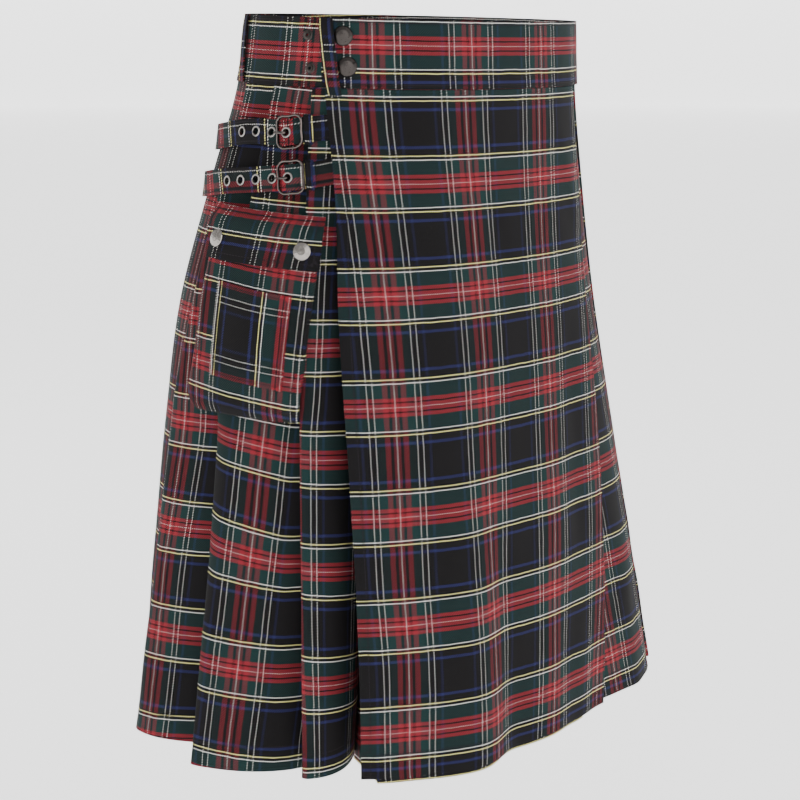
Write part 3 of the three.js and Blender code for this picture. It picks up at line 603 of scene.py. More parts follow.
def tartan(settings):
    """Tartan cloth: a 2/2 twill of spun polyester and viscose, dyed in the yarn."""
    name = "Woven tartan twill"
    if name in bpy.data.materials:
        return bpy.data.materials[name]
    material, tree = new_material(name)
    uv = add_node(tree, "UVMap", uv_map="Weave")
    place = add_node(tree, "VectorMath", {0: uv, 1: (1 / MM,) * 3}, operation="MULTIPLY")
    # the threads wander a little, so no stripe is ruled dead straight
    wander = add_node(tree, "TexNoise", {"Vector": place, "Scale": WANDER_SCALE, "Detail": 1.0})
    centred = add_node(
        tree, "VectorMath", {0: wander.outputs["Color"], 1: (0.5, 0.5, 0.5)}, operation="SUBTRACT"
    )
    moved = add_node(
        tree, "VectorMath", {0: centred, 1: (WANDER, WANDER, 0.0), 2: place}, operation="MULTIPLY_ADD"
    )
    axes = add_node(tree, "SeparateXYZ", {0: moved})
    warp, warp_cover = stripes(tree, axes.outputs[0], WARP_STRIPES, settings)
    weft, weft_cover = stripes(tree, axes.outputs[1], WEFT_STRIPES, settings)

    # the twill's diagonal ribs, drawn coarser than the real thread so that they show: along each
    # rib the weft floats first, then a shadowed gap, then the warp
    diagonal = add_node(tree, "Math", {0: axes.outputs[0], 1: axes.outputs[1]}, operation="ADD")
    ribs = add_node(tree, "Math", {0: diagonal, 1: settings.twill / MM}, operation="DIVIDE")
    rib = add_node(tree, "Math", {0: ribs}, operation="FRACT")
    weft_on = add_node(tree, "Math", {0: rib, 1: weft_cover}, operation="LESS_THAN")
    # a thick light weft pushes the warp aside
    spread = add_node(
        tree, "MapRange",
        {"Value": weft_cover, "From Min": 0.5, "From Max": 0.9, "To Min": 1.0, "To Max": 0.35},
    )
    warp_share = add_node(tree, "Math", {0: warp_cover, 1: spread}, operation="MULTIPLY")
    warp_from = add_node(tree, "Math", {0: 1.0, 1: warp_share}, operation="SUBTRACT")
    warp_on = add_node(tree, "Math", {0: rib, 1: warp_from}, operation="GREATER_THAN")
    darker = add_node(
        tree, "Mix", {"Factor": 1.0, "A": warp, "B": weft}, data_type="RGBA", blend_type="DARKEN"
    )
    gap = add_node(
        tree, "VectorMath", {0: darker.outputs["Result"], "Scale": settings.gap}, operation="SCALE"
    )
    below = add_node(tree, "Mix", {"Factor": warp_on, "A": gap, "B": warp}, data_type="RGBA")
    woven = add_node(
        tree, "Mix", {"Factor": weft_on, "A": below.outputs["Result"], "B": weft}, data_type="RGBA"
    )

    # uneven dye and rubbed fibres: a soft light and dark mottle at two sizes
    mottle = add_node(tree, "TexNoise", {"Vector": place, "Scale": MOTTLE_SCALE, "Detail": 3.0})
    slub_place = add_node(tree, "VectorMath", {0: place, 1: SLUB_SCALE}, operation="MULTIPLY")
    slub = add_node(tree, "TexNoise", {"Vector": slub_place, "Scale": 1.0, "Detail": 1.0})
    dye = add_node(tree, "Math", {0: mottle, 1: 0.3, 2: 0.74}, operation="MULTIPLY_ADD")
    shade = add_node(tree, "Math", {0: slub, 1: 0.22, 2: dye}, operation="MULTIPLY_ADD")
    toned = add_node(
        tree, "VectorMath", {0: woven.outputs["Result"], "Scale": shade}, operation="SCALE"
    )

    # stitch lines: short dark thread dashes sunk in a faint groove
    seam = add_node(tree, "SeparateXYZ", {0: add_node(tree, "UVMap", uv_map="Seam")})
    beside = add_node(tree, "Math", {0: seam.outputs[0], 1: MM}, operation="DIVIDE")
    off = add_node(tree, "Math", {0: beside}, operation="ABSOLUTE")
    count = add_node(tree, "Math", {0: seam.outputs[1], 1: settings.stitch}, operation="DIVIDE")
    run = add_node(tree, "Math", {0: count}, operation="FRACT")
    on_line = add_node(tree, "Math", {0: off, 1: STITCH_HALF}, operation="LESS_THAN")
    on_stitch = add_node(tree, "Math", {0: run, 1: STITCH_SHOWN}, operation="LESS_THAN")
    sewn = add_node(tree, "Math", {0: on_line, 1: on_stitch}, operation="MULTIPLY")
    groove = add_node(
        tree, "MapRange",
        {"Value": off, "From Min": 0.0, "From Max": STITCH_GROOVE, "To Min": 1.0, "To Max": 0.0},
    )
    shadow = add_node(tree, "Math", {0: groove, 1: -0.35, 2: 1.0}, operation="MULTIPLY_ADD")
    lined = add_node(tree, "VectorMath", {0: toned, "Scale": shadow}, operation="SCALE")
    cloth = add_node(
        tree, "Mix", {"Factor": sewn, "A": lined, "B": colour("#1d181c")}, data_type="RGBA"
    )

    # relief: rounded ribs of thread and the pulled-in stitch groove
    turns = 2 * math.pi / (settings.twill / MM)
    angle = add_node(tree, "Math", {0: diagonal, 1: turns}, operation="MULTIPLY")
    round_ribs = add_node(tree, "Math", {0: angle}, operation="SINE")
    relief = add_node(tree, "Math", {0: groove, 1: -3.0, 2: round_ribs}, operation="MULTIPLY_ADD")
    bump = add_node(tree, "Bump", {"Height": relief, "Strength": 0.3, "Distance": settings.relief})
    # spun yarn gives the eye a matt face with hardly a highlight
    surface(tree, {
        "Base Color": cloth.outputs["Result"], "Normal": bump, "Roughness": 0.88,
        "Specular IOR Level": 0.2,
    })
    return material


# Which nodes each metal is on, its name, colour and roughness, and how strong its handling marks are.
METALS = [
    # stamped brass in a darkened nickel bath: a warm grey that mirrors softly
    ("snap_cap", "Dark nickel snap caps", "#3f3b39", 0.3, 0.2),
    ("snap_stud", "Dark nickel snap studs", "#3d3937", 0.34, 0.2),
    # stamped brass in bright nickel: pale, with a clear highlight
    ("flap_cap", "Bright nickel snap caps", "#918c87", 0.24, 0.2),
    # drawn steel wire with a gunmetal plating: dark, bright along its round
    (("buckle", "prong"), "Gunmetal buckle wire", "#5a524f", 0.24, 0.3),
    # pressed brass rings in nickel: pale worn rims
    ("eyelet", "Pressed nickel eyelets", "#918d89", 0.3, 0.2),
]


# In repeats for each metre. The grit and the tooth are drawn coarser than they are, so they show.
MARKS_SCALE = 420.0           # marks of handling, about 2.4 mm across
GRIT_SCALE = 2600.0           # the plating's grit, drawn about 0.4 mm across
TOOTH_SCALE = 300.0           # the paper's tooth, drawn about 3 mm across


def metal(name, code, roughness, marks):
    """Plated metal: handling marks cloud its colour and gloss, and fine grit roughens it."""
    material, tree = new_material(name)
    place = add_node(tree, "TexCoord").outputs["Object"]
    cloud = add_node(tree, "TexNoise", {"Vector": place, "Scale": MARKS_SCALE, "Detail": 4.0})
    grit = add_node(tree, "TexNoise", {"Vector": place, "Scale": GRIT_SCALE, "Detail": 2.0})
    tone = add_node(tree, "Math", {0: cloud, 1: marks, 2: 1 - marks / 2}, operation="MULTIPLY_ADD")
    base = add_node(tree, "VectorMath", {0: colour(code)[:3], "Scale": tone}, operation="SCALE")
    gloss = add_node(
        tree, "Math", {0: cloud, 1: 0.22, 2: roughness - 0.11}, operation="MULTIPLY_ADD"
    )
    bump = add_node(tree, "Bump", {"Height": grit, "Strength": 0.25, "Distance": 0.00005})
    surface(tree, {"Base Color": base, "Roughness": gloss, "Normal": bump, "Metallic": 1.0})
    return material


def paper(settings):
    """Backdrop paper, lit from below as well, as on a light table: pale with a faint tooth."""
    material, tree = new_material("Pale paper backdrop")
    place = add_node(tree, "TexCoord").outputs["Object"]
    tooth = add_node(tree, "TexNoise", {"Vector": place, "Scale": TOOTH_SCALE, "Detail": 2.0})
    surface(tree, {
        "Base Color": colour("#f7f7f7"), "Roughness": 0.95,
        "Normal": add_node(tree, "Bump", {"Height": tooth, "Strength": 0.05, "Distance": 0.0002}),
        "Emission Color": colour("#ffffff"), "Emission Strength": settings.table,
    })
    return material


# ---- hanging panels -----------------------------------------------------------------------------
def hang_panel(node, chain_at, settings, red, hem, drift_at=None, edge_stitch=None):
    """A hanging panel that stands for a CAD node, which it hides.

    chain_at(drop) gives rows of (along, out, across) for the cloth's middle, red is where a red
    stripe lies, drift_at gives the swing of its warp and the sag of its weft, and edge_stitch is
    how far from the free edge a second line of stitches runs."""
    rows = SKIRT_TOP + insets(int((hem - SKIRT_TOP) / ROW), hem - SKIRT_TOP) * (hem - SKIRT_TOP)
    chains = np.array([chain_at(drop) for drop in rows])
    along, out, across = np.moveaxis(chains, -1, 0)
    drops = np.broadcast_to(rows[:, None], along.shape)
    points = SKIN.place(drops, along, out + drape(drops, along))
    swing, sag = drift_at(drops, across) if drift_at else (0, 0)
    weave = pair(across + swing - red[0] + HALF_SETT, drops - sag - red[1] + HALF_SETT)
    lines = [(hem - drops - settings.hem_turn / MM, across)]
    if edge_stitch is not None:
        lines.append((across - across.min(axis=1, keepdims=True) - edge_stitch, drops))
    obj = grid_object(
        f"cloth_{node}", points, weave, nearest_seam(*lines), tartan(settings), settings.thickness / MM
    )
    dress(obj, node)
    return obj


def fold_arc(tip, turn, side, cuts=6):
    """Points round a fold, from a panel's middle line to the middle line of the turn under it.

    side is 1 when the panel lies on the positive side of the fold."""
    radius = (tip[1] - turn[1]) / 2
    centre = (tip[0] + side * radius, tip[1] - radius)
    angles = [math.pi / 2 + math.pi * i / cuts for i in range(cuts + 1)]
    return [
        (centre[0] + side * radius * math.cos(angle), centre[1] + radius * math.sin(angle))
        for angle in angles
    ]


def fold_points(drop, along, out, top, deep):
    """(along, out) of a fold, its turn and the inner end of its return.

    top and deep are how deep that inner end lies under the band and at the hem."""
    depth = lerp(top, deep, hem_share(drop) ** 0.9)
    tuck = lerp(TUCK_TOP, TUCK_HEM, hem_share(drop))
    return (along, out), (along, out - LAYER), (along + tuck, out - depth)


def with_across(chain, zero):
    """Adds the distance along the cloth to (along, out) points, 0 at the point numbered zero."""
    reach = run_length(*np.array(chain).T)
    return [(a, o, r - reach[zero]) for (a, o), r in zip(chain, reach)]


# ---- the front cloth ----------------------------------------------------------------------------
APRON_STITCH = 9              # from the front apron's free edge to its line of stitches


def apron_edges(drop):
    """Where the front apron's free edge and its fold lie."""
    return read_table(APRON, 1, drop), read_table(APRON, 2, drop)


def front_wave(drop, along):
    """How far the front cloth stands off the skin."""
    free, fold = apron_edges(drop)
    return read_table(FRONT_WAVE, 1, (along - free) / (fold - free)) * wave_share(drop) ** 2


def apron_chain(drop):
    free, fold = apron_edges(drop)
    fold -= CLOTH / 2
    face = [
        (lerp(free, fold - 1, t), front_wave(drop, lerp(free, fold, t)) - CLOTH / 2)
        for t in insets(APRON_COLUMNS, fold - free)
    ]
    fold_out = face[-1][1]
    arc = fold_arc((fold, fold_out), (fold, fold_out - LAYER), -1)[1:]
    end = (fold - APRON_TURN_UNDER, fold_out - LAYER - APRON_TURN_FALL * hem_share(drop) ** 2)
    return with_across(face + arc + steps([arc[-1], end], [4])[1:], len(face) - 1)


def apron_drift(drops, across):
    """How far the front apron's warp swings, from its free edge over its middle to its fold."""
    share = 1 + across / np.ptp(across, axis=1, keepdims=True)
    free, middle, fold = (read_table(GRAIN_DRIFT, k, drops) for k in (1, 2, 3))
    swing = lerp(lerp(free, middle, np.clip(share * 2, 0, 1)), fold, np.clip(share * 2 - 1, 0, 1))
    return swing, 0


def under_out(drop, along):
    """Stand-off of the under apron's middle, one layer and some air behind the front one."""
    return front_wave(drop, along) - (LAYER + UNDER_AIR * hem_share(drop) ** 2) - CLOTH / 2


def under_fold(drop):
    along = apron_edges(drop)[0] + UNDER_FOLD["back"]
    return fold_points(drop, along, under_out(drop, along), UNDER_FOLD["top"], UNDER_FOLD["deep"])


def under_apron_chain(drop):
    tip, turn, inner = under_fold(drop)
    free, fold = apron_edges(drop)
    places = lerp(free, fold - CLOTH / 2, np.linspace(*UNDER_REACH, UNDER_COLUMNS))
    face = [(along, under_out(drop, along)) for along in places]
    arc = fold_arc(tip, turn, 1)
    back = steps([inner, arc[-1]], [8])
    return with_across(back + arc[::-1][1:] + face, len(back) + 3)


# ---- pleats -------------------------------------------------------------------------------------
def fold_row(number):
    """The row of the table for a pleat: its own where it shows, and one for all the others."""
    return SHOWN_FOLDS[number] if number < len(SHOWN_FOLDS) else EVEN_FOLD


def fold_along(row, drop):
    return float(smooth_read((BAND_HEIGHT, HIP_DROP, THIGH_DROP, HEM), row[:4], drop))


def pleat_fold(number, drop):
    shown = len(SHOWN_FOLDS)
    row = fold_row(number)
    if number < shown:
        along = fold_along(row, drop)
    else:
        first = fold_along(SHOWN_FOLDS[-1], drop)
        last = fold_along(LAST_FOLD, drop) - SKIN.girth(drop)
        along = lerp(first, last, (number - shown + 1) / (PLEAT_COUNT - shown))
    fall_back, top, deep = row[4:7]
    return fold_points(drop, along, fall_back * wave_share(drop) ** 2 - CLOTH / 2, top, deep)


def beside_inner(points):
    """Where the panel behind a fold ends: beside the inner end of that fold's return."""
    _, turn, inner = points
    du, dv = inner[0] - turn[0], inner[1] - turn[1]
    size = math.hypot(du, dv)
    return inner[0] + dv / size * LAYER, inner[1] - du / size * LAYER


def pleat_chain(number):
    rolls = FOLD_ROLLS.get(number, EVEN_ROLL)

    def chain_at(drop):
        tip, turn, inner = pleat_fold(number, drop)
        end = beside_inner(under_fold(drop) if number == 0 else pleat_fold(number - 1, drop))
        arc = fold_arc(tip, turn, 1)
        back = steps([inner, arc[-1]], [7])
        start = arc[0]
        swell = 1 + PLEAT_SWELL * hem_share(drop)
        face = [
            (lerp(start[0], end[0], t), lerp(start[1], end[1], t ** swell))
            for t in insets(PLEAT_COLUMNS, abs(end[0] - start[0]) + 1, FOLD_EDGE)[1:]
        ]
        width, depth = read_table(rolls, 1, drop), read_table(rolls, 2, drop)
        rolled = [
            (along, out - depth * max(0.0, 1 - (along - tip[0]) / width) ** 1.6)
            for along, out in back + arc[::-1][1:] + face
        ]
        return with_across(rolled, len(back) + 2)

    return chain_at


def pleat_drift(number):
    """The pull of one pleat's weave, or None for the pleats that hang square."""
    if number not in PLEAT_DRIFT:
        return None

    def drift_at(drops, across):
        swing, near, far = (read_table(PLEAT_DRIFT[number], k, drops) for k in (1, 2, 3))
        return swing, lerp(near, far, np.clip(across / PLEAT_FACE, 0, 1))

    return drift_at


# ---- left side panel ----------------------------------------------------------------------------
# under the band and at the hem: how far from the last pleat's fold its crest and the start of its
# turn lie, and how far they stand off
SIDE_CREST = {"back": (14, 30), "out": (-2 * LAYER, -3)}
SIDE_TURN = {"back": (1, 7), "out": (-2 * LAYER - 1, -14)}
SIDE_DIP = 4                  # how far it falls back behind the apron's fold at the hem


def side_chain(drop):
    """From under the front apron's fold, over the hip, to the inner fold of the last pleat."""
    share = hem_share(drop)
    fold = apron_edges(drop)[1] - CLOTH / 2
    fold_out = front_wave(drop, fold) - CLOTH / 2 - LAYER
    start = (fold - APRON_TURN_UNDER, fold_out - APRON_TURN_FALL * share ** 2 - LAYER)
    dip = (fold, fold_out - LAYER - SIDE_DIP * share)
    girth = SKIN.girth(drop)
    last = pleat_fold(PLEAT_COUNT - 1, drop)
    tip = last[0][0] + girth
    crest, under = (
        (tip - lerp(*place["back"], share), lerp(*place["out"], share) - CLOTH / 2)
        for place in (SIDE_CREST, SIDE_TURN)
    )
    end = beside_inner(last)
    rise = [
        (lerp(dip[0], crest[0], t), lerp(dip[1], crest[1], math.sin(t * math.pi / 2)))
        for t in np.linspace(0, 1, 19)[1:]
    ]
    chain = steps([start, dip], [4]) + rise
    chain += steps([crest, under, (end[0] + girth, end[1])], [6, 5])[1:]
    return [(a, o, a - tip) for a, o in chain]


# ---- operators ----------------------------------------------------------------------------------
def finished(operator, made):
    """Ends an operator, with an error if one of its pieces wasn't made."""
    if not made or any(obj is None for obj in made):
        raise RuntimeError(f"{operator.bl_label}: a piece was not made")
    return {"FINISHED"}


class KILT_OT_front_apron(bpy.types.Operator):
    """Hang the plain front apron"""

    bl_idname = "kilt.front_apron"
    bl_label = "Front Apron"
    bl_options = {"REGISTER", "UNDO"}

    def execute(self, context):
        settings = context.scene.kilt
        return finished(self, [hang_panel(
            "front_apron", apron_chain, settings, APRON_RED, HEM, apron_drift, APRON_STITCH,
        )])


class KILT_OT_under_apron(bpy.types.Operator):
    """Hang the under apron, whose hem shows below the front one"""

    bl_idname = "kilt.under_apron"
    bl_label = "Under Apron"
    bl_options = {"REGISTER", "UNDO"}

    def execute(self, context):
        hem = HEM + UNDER_APRON_EXTRA
        settings = context.scene.kilt
        return finished(self, [hang_panel("under_apron", under_apron_chain, settings, UNDER_RED, hem)])


class KILT_OT_side_panel(bpy.types.Operator):
    """Hang the panel between the apron's fold and the last pleat"""

    bl_idname = "kilt.side_panel"
    bl_label = "Left Side Panel"
    bl_options = {"REGISTER", "UNDO"}

    def execute(self, context):
        settings = context.scene.kilt
        return finished(self, [hang_panel("left_side_panel", side_chain, settings, SIDE_RED, HEM)])


class KILT_OT_pleats(bpy.types.Operator):
    """Hang the knife pleats"""

    bl_idname = "kilt.pleats"
    bl_label = "Knife Pleats"
    bl_options = {"REGISTER", "UNDO"}

    def execute(self, context):
        return finished(self, [
            hang_panel(
                f"pleat_{number + 1:02d}", pleat_chain(number), context.scene.kilt,
                PLEAT_RED[min(number, len(PLEAT_RED) - 1)], fold_row(number)[7], pleat_drift(number),
            )
            for number in range(PLEAT_COUNT)
        ])


# ---- waistband ----------------------------------------------------------------------------------
BAND_STITCH = 3.0             # from the band's edges to its lines of stitches
PUCKER = 0.18                 # how far the stitches pucker the band


class KILT_OT_waistband(bpy.types.Operator):
    """Close the waistband round the waist"""

    bl_idname = "kilt.waistband"
    bl_label = "Waistband"
    bl_options = {"REGISTER", "UNDO"}

    def execute(self, context):
        settings = context.scene.kilt
        drops = (insets(8, BAND_HEIGHT) * BAND_HEIGHT)[:, None]
        girths = np.array([SKIN.girth(drop) for drop in drops[:, 0]])[:, None]
        shares = insets(BAND_COLUMNS, BAND_CUT)
        along = lerp(BAND_END, girths + BAND_INNER_END, shares)
        lap = smooth_step(along - girths, *BAND_LAP)
        out = BAND_OUT - BAND_THICK / 2 - lap * (BAND_THICK + GAP)
        pucker = PUCKER * np.sin(along / 5.1) * np.sin(along / 13.7 + drops / 9.0)
        points = SKIN.place(drops, along, out + pucker)
        # the strip is cut along one warp, and its repeat drifts a little on the way round the back
        middle = SKIN.girth(BAND_HEIGHT / 2)
        run = lerp(BAND_END, middle + BAND_INNER_END, shares)
        back = smooth_step(run, *BAND_BACK)
        drift = math.remainder(middle + BAND_RED["lap"] - BAND_RED["front"], SETT)
        down = drops - lerp(BAND_RED["front_down"], BAND_RED["lap_down"], back)
        weave = pair(run - BAND_RED["front"] - back * drift + HALF_SETT, down + HALF_SETT)
        seams = nearest_seam(
            (drops - BAND_STITCH, along), (BAND_HEIGHT - drops - BAND_STITCH, along),
            (along - BAND_END - BAND_STITCH, drops),
        )
        obj = grid_object("cloth_waistband", points, weave, seams, tartan(settings), BAND_THICK - 0.2)
        dress(obj, "waistband")
        return finished(self, [obj])


# ---- belt loops ---------------------------------------------------------------------------------
# drop, the loop's stand-off
LOOP_RISE = [
    (0.5, 1.4), (2, 2.3), (6, 3.9), (16, 4.4), (30, 4.5), (44, 4.4), (52, 3.9), (57.5, 2.6), (61, 1.1),
]
FLAT_LOOP_RISE = [(0.5, 0.9), (3, 1.4), (12, 2), (27, 2.2), (42, 2), (50, 1.4), (54, 0.9)]
LOOP_STITCH = 1.8             # from a loop's edge to its line of stitches
# name of the CAD loop, its table, where its top and its foot lie round the skirt
BELT_LOOPS = [
    ("belt_loop_front", LOOP_RISE, -186.5, -180.5),
    ("belt_loop_right", FLAT_LOOP_RISE, -284.0, -285.5),
    ("belt_loop_back", LOOP_RISE, -455.0, -458.0),
    ("belt_loop_left", LOOP_RISE, 292.0, 294.0),
]


class KILT_OT_belt_loops(bpy.types.Operator):
    """Sew the belt loops over the waistband"""

    bl_idname = "kilt.belt_loops"
    bl_label = "Belt Loops"
    bl_options = {"REGISTER", "UNDO"}

    def execute(self, context):
        made = []
        for name, rise, top, foot in BELT_LOOPS:
            drop = np.linspace(rise[0][0], rise[-1][0], 33)[:, None]
            out = read_table(rise, 1, drop)
            side = strip_sides(4, LOOP_WIDTH)
            points = SKIN.place(drop, lerp(top, foot, drop / rise[-1][0]) + side, out)
            run = run_length(drop[:, 0], out[:, 0])[:, None]
            weave = pair(run + LOOP_PHASE[0], side + LOOP_PHASE[1])
            seams = nearest_seam((LOOP_WIDTH / 2 - np.abs(side) - LOOP_STITCH, run))
            obj = grid_object(
                f"cloth_{name}", points, weave, seams, tartan(context.scene.kilt), LOOP_THICK
            )
            dress(obj, name)
            made.append(obj)
        return finished(self, made)


# ---- cargo pocket -------------------------------------------------------------------------------
# drop, back edge, front edge, stand-off
POCKET = np.array([
    (169, -303, -201, 5.0),
    (200, -308, -204, 6.4),
    (226, -316, -210, 7.0),
    (255, -323, -217, 7.2),
    (280, -332, -223, 7.0),
    (300, -340, -229, 6.2),
    (311, -341, -231, 4.6),
    (317, -334, -233, 1.2),
])
POCKET_TOP = POCKET[0, 0]
POCKET_BEND = 300             # where the pocket starts to round in to its foot
POCKET_FOOT = POCKET[-1, 0]
# the four corners of the patch and of the flap, as (drop, along), and their sizes
PATCH = {"top_back": (211, -291), "top_front": (218, -223), "low_back": (286, -307), "low_front": (292, -240)}
PATCH_WIDTH = 68
PATCH_HEIGHT = 77
PATCH_LIFT = 0.9              # between the pocket's face and the patch
PATCH_STEPS = insets(14, 70)
PATCH_STITCHES = (3.0, 9.5)   # from the patch's edge to its two lines of stitches
FLAP = {
    "top_back": (152, -304), "top_front": (156, -193), "low_back": (194, -307), "low_front": (197.5, -200),
}
FLAP_WIDTH = 109
FLAP_HEIGHT = 42
# share of the flap's height, stand-off
FLAP_RISE = [(0, 1.4), (0.1, 3.4), (0.24, 7.6), (0.5, 8.5), (1, 8.9)]
# from the edges of the pocket and of its flap to their lines of stitches
POCKET_STITCH = {"side": 6, "foot": 8}
FLAP_STITCH = {"edge": 5, "top": 4}


def between(corners, u, v):
    """Drop and along between four corners, u from back to front and v from top to bottom."""
    return (
        lerp(lerp(corners["top_back"][k], corners["top_front"][k], u),
             lerp(corners["low_back"][k], corners["low_front"][k], u), v)
        for k in (0, 1)
    )


def askew_warp(warp, along, drop):
    """Distance across the pocket's cloth from a red stripe of its warp."""
    red_along, red_drop = warp["red"]
    return (along - red_along + warp["slope"] * (drop - red_drop)) * POCKET_FULLNESS


def pocket_sag(drop, along):
    """Soft unevenness of the pocket's face."""
    return 0.7 * np.sin(along / 11 + drop / 19)


def pocket_body(settings):
    drops = np.concatenate([
        np.linspace(POCKET_TOP, POCKET_BEND - 3, 26), np.linspace(POCKET_BEND, POCKET_FOOT, 10),
    ])
    rows = []
    for drop in drops:
        back, front, out = (float(read_table(POCKET, column, drop)) for column in (1, 2, 3))
        side = lerp(POCKET_SEAT, out, 0.75)
        corners = [
            (back, POCKET_SEAT), (back + 0.5, side), (back + 3, out), (front - 3, out),
            (front - 0.5, side), (front, POCKET_SEAT),
        ]
        rows.append(steps(corners, [3, 2, 24, 2, 3]))
    along, out = np.moveaxis(np.array(rows), -1, 0)
    drop = np.broadcast_to(drops[:, None], along.shape)
    points = SKIN.place(drop, along, out + pocket_sag(drop, along) * smooth_step(out, 4, 6))
    back, front = along.min(axis=1, keepdims=True), along.max(axis=1, keepdims=True)
    across = askew_warp(POCKET_WARP, along, drop)
    down = drop - POCKET_WEFT["red"][1] - (along - POCKET_WEFT["red"][0]) * POCKET_WEFT["slope"]
    side, foot = POCKET_STITCH["side"], POCKET_STITCH["foot"]
    seams = nearest_seam(
        (along - back - side, drop), (front - along - side, drop), (POCKET_FOOT - drop - foot, along)
    )
    obj = grid_object(
        "cloth_pocket_body", points, pair(across + HALF_SETT, down + HALF_SETT), seams, tartan(settings),
        POCKET_CLOTH - 0.1,
    )
    dress(obj, "pocket_body")
    return obj


def pocket_patch(settings):
    u, v = np.meshgrid(PATCH_STEPS, PATCH_STEPS)
    drop, along = between(PATCH, u, v)
    out = read_table(POCKET, 3, drop) + POCKET_CLOTH / 2 + PATCH_LIFT + pocket_sag(drop, along)
    points = SKIN.place(drop, along, out)
    weave = pair(v * PATCH_HEIGHT + PATCH_CUT[0], u * PATCH_CLOTH + PATCH_CUT[1])
    from_side = np.minimum(u, 1 - u) * PATCH_WIDTH
    from_end = np.minimum(v, 1 - v) * PATCH_HEIGHT
    edge = np.minimum(from_side, from_end)
    run = np.where(from_side < from_end, v * PATCH_HEIGHT, u * PATCH_WIDTH)
    seams = nearest_seam(*((edge - line, run) for line in PATCH_STITCHES))
    obj = grid_object("cloth_pocket_patch", points, weave, seams, tartan(settings), 1.0)
    dress(obj, "pocket_patch")
    return obj


def pocket_flap(settings):
    u, v = np.meshgrid(insets(24, FLAP_WIDTH), insets(14, FLAP_HEIGHT))
    drop, along = between(FLAP, u, v)
    points = SKIN.place(drop, along, read_table(FLAP_RISE, 1, v))
    weave = pair(askew_warp(FLAP_WARP, along, drop) + HALF_SETT, v * FLAP_CLOTH + HALF_SETT)
    run, fall = u * FLAP_WIDTH, v * FLAP_HEIGHT
    edge, top = FLAP_STITCH["edge"], FLAP_STITCH["top"]
    seams = nearest_seam(
        ((1 - v) * FLAP_HEIGHT - edge, run), (run - edge, fall), ((1 - u) * FLAP_WIDTH - edge, fall),
        (fall - top, run),
    )
    obj = grid_object("cloth_pocket_flap", points, weave, seams, tartan(settings), POCKET_CLOTH)
    dress(obj, "pocket_flap")
    return obj


class KILT_OT_pocket(bpy.types.Operator):
    """Sew the cargo pocket, its patch and its flap on the right hip"""

    bl_idname = "kilt.pocket"
    bl_label = "Cargo Pocket"
    bl_options = {"REGISTER", "UNDO"}

    def execute(self, context):
        settings = context.scene.kilt
        return finished(self, [make(settings) for make in (pocket_body, pocket_patch, pocket_flap)])


# ---- hip straps ---------------------------------------------------------------------------------
# name, where its buckle's centre bar lies, number of eyelets, and its middle line (along, drop)
STRAPS = [
    ("upper", -218.0, 4, [
        (-386, 105), (-345, 103), (-299, 98), (-262, 92.5), (-221, 91), (-205, 88), (-178, 85),
    ]),
    ("lower", -218.5, 5, [
        (-392, 143), (-345, 141), (-292, 134), (-256, 130), (-221, 126), (-207, 124), (-178, 119),
    ]),
]
# distance from the centre bar, strap's middle off the skin, how far its upper edge stands out more
STRAP_RISE = [
    (-167, 1.2, 0), (-152, 2, 0.4), (-132, 3.5, 1.4), (-112, 4.2, 2), (-82, 4.2, 2), (-54, 3.9, 1.5),
    (-36, 3.6, 0.8), (-19, 3.45, 0), (-9.1, 3.4, 0),
]
STRAP_OVER_BAR = [
    (-11.4, 3.4, 0), (-9.1, 3.4, 0), (-7.6, 4.9, 0), (-6.2, 7.3, 0), (-5.5, 7.95, 0), (3.5, 7.95, 0),
    (4.4, 7.5, 0), (6.5, 5.4, 0), (8.7, 3.6, 0), (10, 3.45, 0), (15, 3.6, 0), (20.5, 3.6, 0),
]
STRAP_CREST = 7.95
FIRST_EYELET = -1.0
TAB_RUN = [(38, -2.6), (32, -2.4), (27.5, -1.4), (23.5, 0.9), (20.5, 2.1), (17, 2.2), (8, 2.15), (2.2, 2.65)]
TAB_LOOP_TURNS = (-90, -126, -162, -198, -234, -270, -306, -335)
TAB_BACK = [(3.4, 3.7), (6.2, 3.3)]
TAB_SLOT = {"length": 8.0, "height": 3.2, "shift": -0.6}
KEEPER = {"middle": 15.0, "width": 5.6, "edge": 0.6, "ease": 0.8, "low": 1.4, "high": 4.5}
STRAP_STITCH = 2.2            # from a strap's edge to its line of stitches
EYELET_EASE = 0.75            # how far the cloth's hole stands back from the eyelet's
EYELET_SIDES = 20


def strap_drop(line, along):
    return read_table(line, 1, along)


def strap_rise(place, column=1):
    return float(read_table(STRAP_RISE, column, place))


def ribbon(name, line, buckle, points, thickness, material, phase):
    """A strip of turned cloth round the skirt through (distance from the centre bar, out) points."""
    place, out, *lean = np.array(points).T
    side = strip_sides(6, STRAP_WIDTH)[:, None]
    along = place + buckle
    if lean:
        out = out - side * 2 / STRAP_WIDTH * lean[0]
    grid = SKIN.place(strap_drop(line, along) + side, along, out)
    weave = pair(side + phase[0], place + phase[1])
    seams = nearest_seam((STRAP_WIDTH / 2 - np.abs(side) - STRAP_STITCH, place))
    return grid_object(name, grid, weave, seams, material, thickness)


def seat(drop, along, out, slope=0.0, lean=0.0):
    """Axes at a point of the skirt: x round it, y up, z outwards, turned by a slope and a lean."""
    half = 0.5
    ahead = Vector(SKIN.place(drop, along + half, out + slope * half))
    x = (ahead - Vector(SKIN.place(drop, along - half, out - slope * half))).normalized()
    below = Vector(SKIN.place(drop + half, along, out - lean * half))
    z = (below - Vector(SKIN.place(drop - half, along, out + lean * half))).cross(x).normalized()
    matrix = Matrix((x, z.cross(x), z)).transposed().to_4x4()
    matrix.translation = Vector(SKIN.place(drop, along, out))
    return matrix


